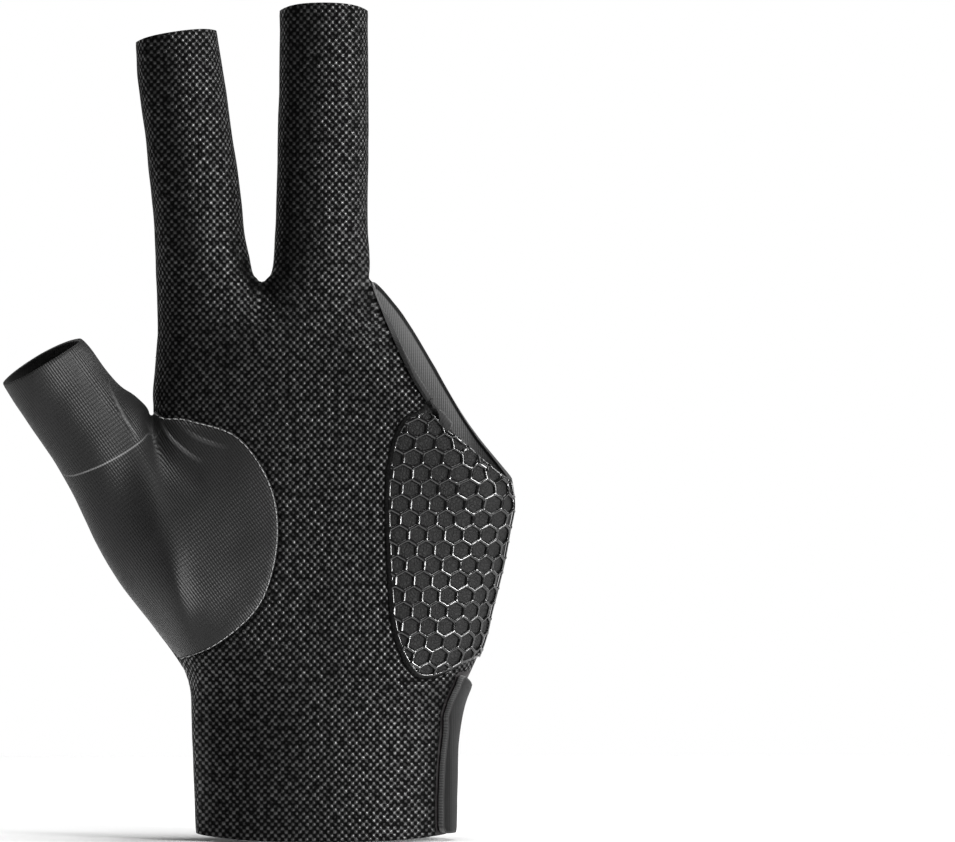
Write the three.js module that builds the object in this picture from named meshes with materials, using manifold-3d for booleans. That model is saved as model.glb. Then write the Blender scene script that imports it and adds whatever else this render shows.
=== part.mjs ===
// Three-finger billiard glove for the left hand, in millimetres, +Z up.
// The palm faces -Y, the thumb points to -X, and the origin is the middle of the wrist opening.
import * as THREE from 'three';
import { mergeVertices } from 'three/addons/utils/BufferGeometryUtils.js';
import Module from 'manifold-3d';

const wasm = await Module();
wasm.setup();

// Hand sizes
const cuffHeight = 36.3; // wrist opening up to the wrist crease
const palmLength = 100.2; // wrist crease up to the web between the two stalls
const palmWidth = 89; // across the knuckles and the little-finger side
const palmDepth = 29; // palm to back
const wristWidth = 63.7;
const wristDepth = 42;
const hemCornerHeight = 1.3; // how far the wrist hem curves up at its sides

// Finger stalls
const indexLength = 60.3;
const middleLength = 65.7;
const stallWidth = 22.8;
const stallDepth = 20;
const indexArchHeight = 0.9; // how far the front and back of the rim rise over its sides
const middleArchHeight = 1.7;

// Thumb
const thumbLength = 55.5;
const thumbDepth = 18.4;
const thumbLean = 9; // how far the thumb mouth leans forward of the palm
const mouthCutDepth = 1.7; // how far the mouth's front edge is cut back, and its back edge carried on
const thenarDepth = 31; // palm to back through the ball of the thumb

// Opening for the ring and little fingers
const openingDepth = 24;

// Cloth and trim
const fabricThickness = 1.2;
const padThickness = 1.8;
const netThickness = 0.8;
const netClearance = 0.6; // clears the pad where both curve round the hand's edge
const strapThickness = 1.8;
const strapClearance = 0.4;
const seamGap = 0.4; // slit kept between two sewn panels
const hexPitch = 4.3; // middle to middle of two neighbouring hexagons
const ribWidth = 0.9;
const netMargin = 1.3; // bare cloth between the pad's seam and the net
const strapFront = 9.3; // from the little-finger edge forward to the strap's sewn end
const strapReach = 38.5; // from the little-finger edge back to the strap's round tip
const tabStart = 14; // from the little-finger edge back to where the strap's upper edge levels out
const tabHeight = 31;
const tabLift = 1.5; // strap's lower edge above the wrist opening
const slitHeight = 40.8; // top of the strap's sewn end
const foldHeight = 36.4; // guides the strap's upper edge as it rises over the little-finger edge

// Palm sections from the web down to the wrist crease. x is a share of palmWidth and up a share of
// palmLength, on four lines that run down the hand; front and back are shares of palmDepth.
const palmSections = [
  { radialX: -0.449, radialUp: 1.0, webX: -0.16, webUp: 1.0, ringX: 0.143, ringUp: 1.0,
    ulnarX: 0.534, ulnarUp: 0.513, front: 0.4, back: 0.4 },
  { radialX: -0.449, radialUp: 0.87, webX: -0.168, webUp: 0.885, ringX: 0.123, ringUp: 0.86,
    ulnarX: 0.53, ulnarUp: 0.456, front: 0.45, back: 0.48 },
  { radialX: -0.46, radialUp: 0.735, webX: -0.174, webUp: 0.775, ringX: 0.109, ringUp: 0.735,
    ulnarX: 0.523, ulnarUp: 0.4, front: 0.47, back: 0.51 },
  { radialX: -0.466, radialUp: 0.679, webX: -0.176, webUp: 0.665, ringX: 0.102, ringUp: 0.611,
    ulnarX: 0.512, ulnarUp: 0.345, front: 0.48, back: 0.52 },
  { radialX: -0.441, radialUp: 0.526, webX: -0.171, webUp: 0.501, ringX: 0.094, ringUp: 0.44,
    ulnarX: 0.493, ulnarUp: 0.262, front: 0.52, back: 0.54 },
  { radialX: -0.418, radialUp: 0.367, webX: -0.16, webUp: 0.33, ringX: 0.097, ringUp: 0.289,
    ulnarX: 0.468, ulnarUp: 0.181, front: 0.58, back: 0.57 },
  { radialX: -0.394, radialUp: 0.196, webX: -0.143, webUp: 0.171, ringX: 0.105, ringUp: 0.147,
    ulnarX: 0.444, ulnarUp: 0.103, front: 0.64, back: 0.62 },
  { radialX: -0.372, radialUp: 0.047, webX: -0.121, webUp: 0.015, ringX: 0.121, ringUp: 0.015,
    ulnarX: 0.399, ulnarUp: 0.015, front: 0.7, back: 0.68 },
];

// Cuff sections: up is a share of cuffHeight, the sides shares of wristWidth, depth of wristDepth
const cuffSections = [
  { up: 0.83, radial: -0.495, ulnar: 0.519, depth: 0.97 },
  { up: 0.49, radial: -0.487, ulnar: 0.5, depth: 1.0 },
  { up: 0.0, radial: -0.477, ulnar: 0.495, depth: 1.02 },
];

// Stall sections from base to rim, for the left and right of the outline: x is a share of stallWidth
// from the middle of the stall's base, up a share of the stall's length, depth a share of stallDepth
const indexSections = [
  { leftX: -0.581, leftUp: 0.116, rightX: 0.496, rightUp: 0.0125, depth: 1.2 },
  { leftX: -0.603, leftUp: 0.24, rightX: 0.443, rightUp: 0.083, depth: 1.13 },
  { leftX: -0.64, leftUp: 0.398, rightX: 0.379, rightUp: 0.207, depth: 1.04 },
  { leftX: -0.695, leftUp: 0.58, rightX: 0.32, rightUp: 0.415, depth: 1.0 },
  { leftX: -0.761, leftUp: 0.779, rightX: 0.21, rightUp: 0.697, depth: 0.96 },
  { leftX: -0.798, leftUp: 0.968, rightX: 0.088, rightUp: 1.017, depth: 0.93 },
];
const middleSections = [
  { leftX: -0.521, leftUp: 0.0115, rightX: 0.578, rightUp: 0.07, depth: 1.2 },
  { leftX: -0.464, leftUp: 0.076, rightX: 0.563, rightUp: 0.135, depth: 1.14 },
  { leftX: -0.445, leftUp: 0.19, rightX: 0.555, rightUp: 0.244, depth: 1.05 },
  { leftX: -0.423, leftUp: 0.396, rightX: 0.555, rightUp: 0.457, depth: 1.0 },
  { leftX: -0.412, leftUp: 0.7, rightX: 0.56, rightUp: 0.716, depth: 0.97 },
  { leftX: -0.402, leftUp: 1.006, rightX: 0.56, rightUp: 1.006, depth: 0.96 },
];

// Thumb sections from base to mouth, shares of thumbLength from the crotch and from the wrist crease
const thumbSections = [
  { upperX: -0.059, upperUp: 0.055, lowerX: -0.218, lowerUp: 0.295, depth: 1.42, lean: 0.3 },
  { upperX: -0.115, upperUp: 0.102, lowerX: -0.395, lowerUp: 0.578, depth: 1.22, lean: 0.5 },
  { upperX: -0.18, upperUp: 0.168, lowerX: -0.532, lowerUp: 0.86, depth: 1.08, lean: 0.68 },
  { upperX: -0.255, upperUp: 0.249, lowerX: -0.668, lowerUp: 1.063, depth: 1.02, lean: 0.84 },
  { upperX: -0.327, upperUp: 0.324, lowerX: -0.796, lowerUp: 1.266, depth: 1.0, lean: 1.0 },
];

// Ball of the thumb on the palm sections that carry the thumb, shares of thenarDepth
const thenarSections = [
  { front: 0.44, back: 0.36 },
  { front: 0.6, back: 0.42 },
  { front: 0.6, back: 0.44 },
];

// Rim of the ring and little finger opening: shares of its chord, and of openingDepth
const openingSections = [
  { frontAlong: 0.185, frontOut: -0.051, backAlong: 0.181, backOut: 0.022, depth: 0.4 },
  { frontAlong: 0.46, frontOut: -0.102, backAlong: 0.478, backOut: 0.001, depth: 0.5 },
  { frontAlong: 0.743, frontOut: -0.078, backAlong: 0.777, backOut: -0.017, depth: 0.38 },
];

// Seam lines on the hand: x is a share of palmWidth, up a share of palmLength
const patchSeam = [
  { x: -0.55, up: 0.9 }, { x: -0.462, up: 0.69 }, { x: -0.361, up: 0.663 }, { x: -0.223, up: 0.621 },
  { x: -0.132, up: 0.506 }, { x: -0.11, up: 0.369 }, { x: -0.151, up: 0.223 },
  { x: -0.25, up: 0.13 }, { x: -0.369, up: 0.078 }, { x: -0.6, up: 0.03 },
];
const thumbBackSeam = [
  { x: -0.55, up: 0.9 }, { x: -0.465, up: 0.69 }, { x: -0.475, up: 0.6 }, { x: -0.492, up: 0.47 },
  { x: -0.506, up: 0.34 }, { x: -0.56, up: 0.24 }, { x: -0.75, up: 0.18 },
];
const backSeam = [
  { x: -0.7, up: 0.97 }, { x: -0.47, up: 0.88 }, { x: -0.441, up: 0.8 }, { x: -0.434, up: 0.71 },
  { x: -0.43, up: 0.57 }, { x: -0.428, up: 0.4 }, { x: -0.41, up: 0.26 }, { x: -0.385, up: 0.15 },
  { x: -0.352, up: 0.05 }, { x: -0.362, up: -0.02 }, { x: -0.45, up: -0.07 },
];
const padSeam = [
  { x: 0.36, up: 0.78 }, { x: 0.281, up: 0.69 }, { x: 0.239, up: 0.67 }, { x: 0.209, up: 0.633 },
  { x: 0.187, up: 0.562 }, { x: 0.179, up: 0.457 }, { x: 0.184, up: 0.318 }, { x: 0.195, up: 0.176 },
  { x: 0.22, up: 0.093 }, { x: 0.264, up: 0.036 }, { x: 0.317, up: 0.032 }, { x: 0.366, up: 0.049 },
  { x: 0.424, up: 0.073 }, { x: 0.6, up: 0.1 },
];
const backHem = 0.955; // share of cuffHeight where the back panel meets the wristband

// Fabric looks
const knit = { color: 0x1c1c1c, roughness: 0.85 };
const lycra = { color: 0x242223, roughness: 0.6 };
const thumbLycra = { color: 0x3a3a3a, roughness: 0.55 };
const padCloth = { color: 0x2b2b2b, roughness: 0.8 };
const silicone = { color: 0x3c3c3c, roughness: 0.3 };
const webbing = { color: 0x202020, roughness: 0.65 };

const front = -1;
const back = 1;
const tiny = 1e-6;

// A point is { p: position, side: -1 front to 1 back, reach: way round from the little-finger edge }
const cage = { points: [], quads: [] };
const named = new Map();

function put(key, x, y, z, side) {
  named.set(key, cage.points.length);
  cage.points.push({ p: new THREE.Vector3(x, y, z), side, reach: 0 });
}

// The front and back of a row share their point on the hand's outline
function find(block, row, column, side) {
  const shared = `${block}:${row}:${column}`;
  return named.has(shared) ? named.get(shared) : named.get(`${shared}:${side}`);
}

function spot(x, up) {
  return [x * palmWidth, cuffHeight + up * palmLength];
}

// Share of the full depth at a share u of the half width, for a flattened round section
function roundness(u) {
  const power = 2.3;
  return (1 - Math.min(Math.abs(u), 1) ** power) ** (1 / power);
}

const lastColumn = 12;
const columnShares = { radial: [0.2, 0.48, 0.76], middle: [0.25, 0.5, 0.75], ulnar: [0.3, 0.6, 0.86] };

// Four points across a palm section and the columns between them
function sectionPath(section) {
  const radial = spot(section.radialX, section.radialUp);
  const web = spot(section.webX, section.webUp);
  const ring = spot(section.ringX, section.ringUp);
  const ulnar = spot(section.ulnarX, section.ulnarUp);
  const between = (a, b, shares) => shares
    .map((t) => [a[0] + (b[0] - a[0]) * t, a[1] + (b[1] - a[1]) * t]);
  return [radial, ...between(radial, web, columnShares.radial), web,
    ...between(web, ring, columnShares.middle), ring,
    ...between(ring, ulnar, columnShares.ulnar), ulnar];
}

// Rim row: the bases of the two stalls, then the slanted opening
function putRimRow() {
  const section = palmSections[0];
  const radial = spot(section.radialX, section.radialUp);
  const web = spot(section.webX, section.webUp);
  const ring = spot(section.ringX, section.ringUp);
  const ulnar = spot(section.ulnarX, section.ulnarUp);
  put('palm:0:0', radial[0], 0, radial[1], 0);
  put('palm:0:4', web[0], 0, web[1], 0);
  put('palm:0:8', ring[0], 0, ring[1], 0);
  put(`palm:0:${lastColumn}`, ulnar[0], 0, ulnar[1], 0);
  for (const side of [front, back]) {
    const depth = (side === front ? section.front : section.back) * palmDepth;
    for (const [start, a, b] of [[0, radial, web], [4, web, ring]]) {
      for (let k = 1; k < 4; k += 1) {
        const turn = (k * Math.PI) / 4;
        const t = (1 - Math.cos(turn)) / 2;
        const z = a[1] + (b[1] - a[1]) * t;
        put(`palm:0:${start + k}:${side}`, a[0] + (b[0] - a[0]) * t, side * depth * Math.sin(turn), z, side);
      }
    }
    const chord = [ulnar[0] - ring[0], ulnar[1] - ring[1]];
    openingSections.forEach((row, k) => {
      const along = side === front ? row.frontAlong : row.backAlong;
      const out = side === front ? row.frontOut : row.backOut;
      const x = ring[0] + chord[0] * along - chord[1] * out;
      const z = ring[1] + chord[1] * along + chord[0] * out;
      put(`palm:0:${9 + k}:${side}`, x, side * row.depth * openingDepth, z, side);
    });
  }
}

// The palm sections under the rim row. The thumb grows out between the crotch row and the crease row.
const crotchRow = 3;
const creaseRow = 7;
function putPalmRows() {
  for (let row = 1; row < palmSections.length; row += 1) {
    const section = palmSections[row];
    const path = sectionPath(section);
    const carriesThumb = row > crotchRow && row < creaseRow;
    const middle = (path[0][0] + path[lastColumn][0]) / 2;
    const half = (path[lastColumn][0] - path[0][0]) / 2;
    if (!carriesThumb) put(`palm:${row}:0`, path[0][0], 0, path[0][1], 0);
    put(`palm:${row}:${lastColumn}`, path[lastColumn][0], 0, path[lastColumn][1], 0);
    for (const side of [front, back]) {
      const deep = (side === front ? section.front : section.back) * palmDepth;
      for (let k = carriesThumb ? 0 : 1; k < lastColumn; k += 1) {
        const u = (path[k][0] - middle) / half;
        let depth = deep * roundness(u);
        if (carriesThumb && u < 0) {
          const ball = thenarSections[row - crotchRow - 1];
          const edge = (side === front ? ball.front : ball.back) * thenarDepth;
          depth = deep + (edge - deep) * u * u;
        }
        put(`palm:${row}:${k}:${side}`, path[k][0], side * depth, path[k][1], side);
      }
    }
  }
}

function putCuffRows() {
  cuffSections.forEach((section, i) => {
    const row = palmSections.length + i;
    const left = section.radial * wristWidth;
    const right = section.ulnar * wristWidth;
    const z = section.up * cuffHeight;
    const rise = i === cuffSections.length - 1 ? hemCornerHeight : 0;
    put(`palm:${row}:0`, left, 0, z + rise, 0);
    put(`palm:${row}:${lastColumn}`, right, 0, z + rise, 0);
    for (const side of [front, back]) {
      for (let k = 1; k < lastColumn; k += 1) {
        const turn = (k * Math.PI) / lastColumn;
        const x = (left + right) / 2 - ((right - left) / 2) * Math.cos(turn);
        const y = side * (section.depth * wristDepth * Math.sin(turn)) / 2;
        put(`palm:${row}:${k}:${side}`, x, y, z + rise * Math.abs(Math.cos(turn)) ** 3, side);
      }
    }
  });
}

function putStall(name, sections, length, archHeight, firstColumn) {
  const a = cage.points[find('palm', 0, firstColumn, 0)].p;
  const b = cage.points[find('palm', 0, firstColumn + 4, 0)].p;
  const base = a.clone().add(b).multiplyScalar(0.5);
  sections.forEach((section, i) => {
    const left = [base.x + section.leftX * stallWidth, base.z + section.leftUp * length];
    const right = [base.x + section.rightX * stallWidth, base.z + section.rightUp * length];
    const arch = i === sections.length - 1 ? archHeight : 0;
    put(`${name}:${i + 1}:0`, left[0], 0, left[1], 0);
    put(`${name}:${i + 1}:4`, right[0], 0, right[1], 0);
    for (const side of [front, back]) {
      for (let k = 1; k < 4; k += 1) {
        const turn = (k * Math.PI) / 4;
        const t = (1 - Math.cos(turn)) / 2;
        const x = left[0] + (right[0] - left[0]) * t;
        const y = (side * section.depth * stallDepth * Math.sin(turn)) / 2;
        const z = left[1] + (right[1] - left[1]) * t + arch * Math.sin(turn);
        put(`${name}:${i + 1}:${k}:${side}`, x, y, z, side);
      }
    }
  });
}

function putThumb() {
  const crotch = cage.points[find('palm', crotchRow, 0, 0)].p;
  const crease = cage.points[find('palm', creaseRow, 0, 0)].p;
  thumbSections.forEach((section, i) => {
    const upper = [crotch.x + section.upperX * thumbLength, crotch.z + section.upperUp * thumbLength];
    const lower = [crease.x + section.lowerX * thumbLength, crease.z + section.lowerUp * thumbLength];
    const lean = -section.lean * thumbLean;
    const width = Math.hypot(upper[0] - lower[0], upper[1] - lower[1]);
    const tilt = i === thumbSections.length - 1 ? mouthCutDepth / width : 0;
    put(`thumb:${i + 1}:0`, upper[0], lean, upper[1], 0);
    put(`thumb:${i + 1}:4`, lower[0], lean, lower[1], 0);
    for (const side of [front, back]) {
      for (let k = 1; k < 4; k += 1) {
        const turn = (k * Math.PI) / 4;
        const t = (1 - Math.cos(turn)) / 2;
        const y = lean + (side * section.depth * thumbDepth * Math.sin(turn)) / 2;
        const shift = side * tilt * Math.sin(turn);
        const x = upper[0] + (lower[0] - upper[0]) * t + (lower[1] - upper[1]) * shift;
        const z = upper[1] + (lower[1] - upper[1]) * t - (lower[0] - upper[0]) * shift;
        put(`thumb:${i + 1}:${k}:${side}`, x, y, z, side);
      }
    }
  });
}

// Joins four corners, given from the upper left round by the lower left, as seen from the palm
function addQuad(side, corners) {
  cage.quads.push(side === front ? corners : [...corners].reverse());
}

function joinCage() {
  const rows = palmSections.length + cuffSections.length;
  for (const side of [front, back]) {
    for (let row = 0; row < rows - 1; row += 1) {
      for (let k = 0; k < lastColumn; k += 1) {
        addQuad(side, [[row, k], [row + 1, k], [row + 1, k + 1], [row, k + 1]]
          .map(([r, c]) => find('palm', r, c, side)));
      }
    }
    for (const [name, first, sections] of [['index', 0, indexSections], ['middle', 4, middleSections]]) {
      const at = (i, k) => (i === 0 ? find('palm', 0, first + k, side) : find(name, i, k, side));
      for (let i = 0; i < sections.length; i += 1) {
        for (let k = 0; k < 4; k += 1) {
          addQuad(side, [at(i + 1, k), at(i, k), at(i, k + 1), at(i + 1, k + 1)]);
        }
      }
    }
    const at = (i, k) => (i === 0 ? find('palm', crotchRow + k, 0, side) : find('thumb', i, k, side));
    for (let i = 0; i < thumbSections.length; i += 1) {
      for (let k = 0; k < 4; k += 1) addQuad(side, [at(i + 1, k), at(i + 1, k + 1), at(i, k + 1), at(i, k)]);
    }
  }
}

// Way round each row from the little-finger edge, level with the ground
function measureReach() {
  const rows = palmSections.length + cuffSections.length;
  for (const side of [front, back]) {
    for (let row = 0; row < rows; row += 1) {
      let reach = 0;
      for (let k = lastColumn - 1; k > 0; k -= 1) {
        const here = cage.points[find('palm', row, k, side)];
        const before = cage.points[find('palm', row, k + 1, side)];
        reach += Math.hypot(here.p.x - before.p.x, here.p.y - before.p.y);
        here.reach = side * reach;
      }
    }
  }
}

// One round of Catmull-Clark subdivision, which keeps the old points first
function subdivide(mesh) {
  const { points, quads } = mesh;
  const mix = (list) => {
    const out = { p: new THREE.Vector3(), side: 0, reach: 0 };
    for (const point of list) {
      out.p.addScaledVector(point.p, 1 / list.length);
      out.side += point.side / list.length;
      out.reach += point.reach / list.length;
    }
    return out;
  };
  const facePoints = quads.map((quad) => mix(quad.map((i) => points[i])));
  const edges = new Map();
  quads.forEach((quad, f) => quad.forEach((a, i) => {
    const b = quad[(i + 1) % 4];
    const key = a < b ? `${a}_${b}` : `${b}_${a}`;
    if (!edges.has(key)) edges.set(key, { a, b, faces: [] });
    edges.get(key).faces.push(f);
  }));
  const around = points.map(() => ({ faces: [], edges: [], rim: [] }));
  quads.forEach((quad, f) => quad.forEach((i) => around[i].faces.push(f)));
  for (const edge of edges.values()) {
    const list = edge.faces.length === 1 ? 'rim' : 'edges';
    around[edge.a][list].push(edge.b);
    around[edge.b][list].push(edge.a);
  }
  const moved = points.map((point, i) => {
    const near = around[i];
    const p = new THREE.Vector3();
    if (near.rim.length === 2) {
      p.addScaledVector(point.p, 0.75);
      for (const j of near.rim) p.addScaledVector(points[j].p, 0.125);
    } else {
      const n = near.faces.length;
      p.addScaledVector(point.p, (n - 2) / n);
      for (const f of near.faces) p.addScaledVector(facePoints[f].p, 1 / (n * n));
      for (const j of near.edges) p.addScaledVector(points[j].p, 1 / (n * n));
    }
    return { p, side: point.side, reach: point.reach };
  });
  const firstFace = moved.length;
  moved.push(...facePoints);
  for (const edge of edges.values()) {
    const middle = mix([points[edge.a], points[edge.b]]);
    if (edge.faces.length === 2) {
      middle.p.multiplyScalar(0.5);
      for (const f of edge.faces) middle.p.addScaledVector(facePoints[f].p, 0.25);
    }
    edge.point = moved.length;
    moved.push(middle);
  }
  const next = [];
  quads.forEach((quad, f) => quad.forEach((a, i) => {
    const b = quad[(i + 1) % 4];
    const z = quad[(i + 3) % 4];
    const after = edges.get(a < b ? `${a}_${b}` : `${b}_${a}`).point;
    const before = edges.get(a < z ? `${a}_${z}` : `${z}_${a}`).point;
    next.push([a, after, firstFace + f, before]);
  }));
  return { points: moved, quads: next };
}

// Where the fully subdivided surface lies at each of the mesh's points
function settle(mesh) {
  const finer = subdivide(mesh);
  const around = mesh.points.map(() => ({ faces: new Set(), edges: new Set(), rim: new Set() }));
  const count = new Map();
  for (const quad of finer.quads) {
    for (const j of [quad[1], quad[3]]) {
      const key = `${quad[0]}_${j}`;
      count.set(key, (count.get(key) || 0) + 1);
    }
  }
  for (const quad of finer.quads) {
    const near = around[quad[0]];
    near.faces.add(quad[2]);
    for (const j of [quad[1], quad[3]]) (count.get(`${quad[0]}_${j}`) === 1 ? near.rim : near.edges).add(j);
  }
  return mesh.points.map((point, i) => {
    const near = around[i];
    const p = new THREE.Vector3();
    if (near.rim.size === 2) {
      p.addScaledVector(finer.points[i].p, 4 / 6);
      for (const j of near.rim) p.addScaledVector(finer.points[j].p, 1 / 6);
      return p;
    }
    const n = near.faces.size;
    p.addScaledVector(finer.points[i].p, n * n);
    for (const j of near.edges) p.addScaledVector(finer.points[j].p, 4);
    for (const f of near.faces) p.add(finer.points[f].p);
    return p.multiplyScalar(1 / (n * (n + 5)));
  });
}

// Moves the cage until the smooth surface passes through the sections' own points
function fitCage() {
  const targets = cage.points.map((point) => point.p.clone());
  const rounds = 3;
  for (let round = 0; round < rounds; round += 1) {
    const reached = settle(cage);
    cage.points.forEach((point, i) => point.p.add(targets[i]).sub(reached[i]));
  }
}

// The glove's skin: the cage subdivided, put on the smooth surface, with its normals
function makeSkin(levels) {
  let mesh = cage;
  for (let level = 0; level < levels; level += 1) mesh = subdivide(mesh);
  const reached = settle(mesh);
  mesh.points.forEach((point, i) => {
    point.p = reached[i];
    point.n = new THREE.Vector3();
  });
  for (const quad of mesh.quads) {
    const [a, b, c, d] = quad.map((i) => mesh.points[i].p);
    const normal = new THREE.Vector3().subVectors(c, a).cross(new THREE.Vector3().subVectors(d, b));
    for (const i of quad) mesh.points[i].n.add(normal);
  }
  mesh.points.forEach((point) => point.n.normalize());
  return mesh;
}

function smoothLine(rows) {
  const spots = rows.map((row) => new THREE.Vector2(...spot(row.x, row.up)));
  return new THREE.SplineCurve(spots).getPoints(rows.length * 5);
}

// Distance to a closed line, positive inside
function insideOf(outline, x, z) {
  let nearest = Infinity;
  let inside = false;
  for (let i = 0; i < outline.length; i += 1) {
    const a = outline[i];
    const b = outline[(i + 1) % outline.length];
    const dx = b.x - a.x;
    const dz = b.y - a.y;
    const t = Math.min(1, Math.max(0, ((x - a.x) * dx + (z - a.y) * dz) / (dx * dx + dz * dz + tiny)));
    nearest = Math.min(nearest, Math.hypot(x - a.x - t * dx, z - a.y - t * dz));
    if (a.y > z !== b.y > z && x < a.x + ((z - a.y) * dx) / dz) inside = !inside;
  }
  return inside ? nearest : -nearest;
}

const farOut = 3 * palmWidth;
const flatPoint = (x, z) => new THREE.Vector2(x, z);
const top = cuffHeight + palmLength;
const patchOutline = [...smoothLine(patchSeam), flatPoint(-farOut, 0), flatPoint(-farOut, top)];
const thumbBackOutline = [...smoothLine(thumbBackSeam), flatPoint(-farOut, 0), flatPoint(-farOut, top)];
const backOutline = [...smoothLine(backSeam), flatPoint(0, -farOut), flatPoint(farOut, -farOut),
  flatPoint(farOut, farOut), flatPoint(-farOut, farOut)];
const padOutline = [...smoothLine(padSeam), flatPoint(farOut, cuffHeight), flatPoint(farOut, top)];

// The strap laid flat: way round from the little-finger edge against height
const tabRadius = tabHeight / 2;
const strapShape = new THREE.Shape();
strapShape.moveTo(-strapFront, tabLift);
strapShape.lineTo(strapReach - tabRadius, tabLift);
strapShape.absarc(strapReach - tabRadius, tabLift + tabRadius, tabRadius, -Math.PI / 2, Math.PI / 2);
strapShape.lineTo(tabStart, tabLift + tabHeight);
strapShape.bezierCurveTo(strapFront, foldHeight, strapFront / 2, foldHeight, -strapFront, slitHeight);
const strapOutline = strapShape.getPoints(10);

// Fields that say how far inside a panel a point of the skin lies, in millimetres
const sideWidth = 7; // width of the first column beside the hand's outline
const halfGap = seamGap / 2;
const thumbField = (q) => (q.side < 0 ? insideOf(patchOutline, q.p.x, q.p.z)
  : insideOf(thumbBackOutline, q.p.x, q.p.z));
const padField = (q) => Math.min(insideOf(padOutline, q.p.x, q.p.z), -q.side * sideWidth);
const slitField = (q) => Math.min(q.reach + strapFront, slitHeight - q.p.z, q.p.x);
const backField = (q) => Math.min(insideOf(backOutline, q.p.x, q.p.z), q.side * sideWidth);
const hemField = (q) => q.p.z - backHem * cuffHeight;
const panelFields = {
  palm_panel: (q) => Math.min(-backField(q), -thumbField(q), -padField(q),
    q.side < 0 ? -slitField(q) : Infinity) - halfGap,
  back_panel: (q) => Math.min(backField(q), -thumbField(q), hemField(q)) - halfGap,
  thumb_panel: (q) => thumbField(q) - halfGap,
  grip_pad: (q) => padField(q) - halfGap,
  wristband: (q) => (q.side > 0 ? Math.min(insideOf(backOutline, q.p.x, q.p.z), -hemField(q))
    : slitField(q)) - halfGap,
  strap: (q) => Math.min(insideOf(strapOutline, q.reach, q.p.z), slitHeight - q.p.z,
    q.p.x + wristWidth / 4),
};

function blend(a, b, t) {
  return { p: a.p.clone().lerp(b.p, t), n: a.n.clone().lerp(b.n, t).normalize(),
    side: a.side + (b.side - a.side) * t, reach: a.reach + (b.reach - a.reach) * t };
}

// The part of the skin where a field is positive, cut cleanly along the field's zero
function clipSkin(skin, field) {
  const snap = 0.03;
  const values = skin.points.map((point) => {
    const value = field(point);
    return Math.abs(value) < snap ? 0 : value;
  });
  const points = [];
  const kept = new Map();
  const cuts = new Map();
  const keep = (i) => {
    if (!kept.has(i)) {
      kept.set(i, points.length);
      points.push(skin.points[i]);
    }
    return kept.get(i);
  };
  const cut = (i, j) => {
    const key = i < j ? `${i}_${j}` : `${j}_${i}`;
    if (!cuts.has(key)) {
      const [low, high] = values[i] < 0 ? [i, j] : [j, i];
      let [from, to] = [0, 1];
      for (let step = 0; step < 12; step += 1) {
        const middle = (from + to) / 2;
        if (field(blend(skin.points[low], skin.points[high], middle)) < 0) from = middle;
        else to = middle;
      }
      cuts.set(key, points.length);
      points.push(blend(skin.points[low], skin.points[high], Math.min(0.985, Math.max(0.015, to))));
    }
    return cuts.get(key);
  };
  const faces = [];
  for (const quad of skin.quads) {
    if (!quad.some((i) => values[i] > 0)) continue;
    const face = [];
    quad.forEach((i, k) => {
      const j = quad[(k + 1) % quad.length];
      if (values[i] >= 0) face.push(keep(i));
      if (values[i] * values[j] < 0) face.push(cut(i, j));
    });
    if (face.length > 2) faces.push(face);
  }
  return { points, faces };
}

// A sheet given thickness between two offsets from the skin, closed round its edges
function thicken(sheet, outer, inner) {
  const positions = [];
  for (const offset of [outer, inner]) {
    for (const point of sheet.points) {
      positions.push(...point.p.clone().addScaledVector(point.n, offset).toArray());
    }
  }
  const count = sheet.points.length;
  const index = [];
  const open = new Map();
  for (const face of sheet.faces) {
    for (let k = 1; k < face.length - 1; k += 1) {
      index.push(face[0], face[k], face[k + 1]);
      index.push(face[0] + count, face[k + 1] + count, face[k] + count);
    }
    face.forEach((a, k) => {
      const b = face[(k + 1) % face.length];
      if (open.has(`${b}_${a}`)) open.delete(`${b}_${a}`);
      else open.set(`${a}_${b}`, [a, b]);
    });
  }
  for (const [a, b] of open.values()) {
    index.push(b, a, a + count);
    index.push(b, a + count, b + count);
  }
  const geometry = new THREE.BufferGeometry();
  geometry.setAttribute('position', new THREE.Float32BufferAttribute(positions, 3));
  geometry.setIndex(index);
  return geometry;
}

// The triangles of the palm side next to the little-finger edge
function ulnarTriangles(mesh) {
  const list = [];
  for (const quad of mesh.quads) {
    const corners = quad.map((i) => mesh.points[i]);
    const onPalm = corners.every((q) => q.side <= 0 && q.reach <= 0 && q.p.x > 0
      && q.p.z < cuffHeight + 0.8 * palmLength);
    if (!onPalm || corners.filter((q) => q.reach < 0).length < 2) continue;
    list.push([corners[0], corners[1], corners[2]], [corners[0], corners[2], corners[3]]);
  }
  return list;
}

// The skin over a spot of a flat chart, carried on from the nearest triangle past the chart's edge
function pointOver(triangles, chart, u, v) {
  let best = { least: -Infinity };
  for (const corners of triangles) {
    const [a, b, c] = corners.map(chart);
    const area = (b[0] - a[0]) * (c[1] - a[1]) - (b[1] - a[1]) * (c[0] - a[0]);
    if (Math.abs(area) < tiny) continue;
    const s = ((b[0] - u) * (c[1] - v) - (b[1] - v) * (c[0] - u)) / area;
    const t = ((c[0] - u) * (a[1] - v) - (c[1] - v) * (a[0] - u)) / area;
    const least = Math.min(s, t, 1 - s - t);
    if (least > best.least) best = { least, corners, shares: [s, t, 1 - s - t] };
    if (least >= 0) break;
  }
  const p = new THREE.Vector3();
  const n = new THREE.Vector3();
  let reach = 0;
  best.corners.forEach((corner, k) => {
    p.addScaledVector(corner.p, best.shares[k]);
    n.addScaledVector(corner.n, best.shares[k]);
    reach += corner.reach * best.shares[k];
  });
  return { p, n: n.normalize(), reach, inside: best.least >= -tiny };
}

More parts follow.
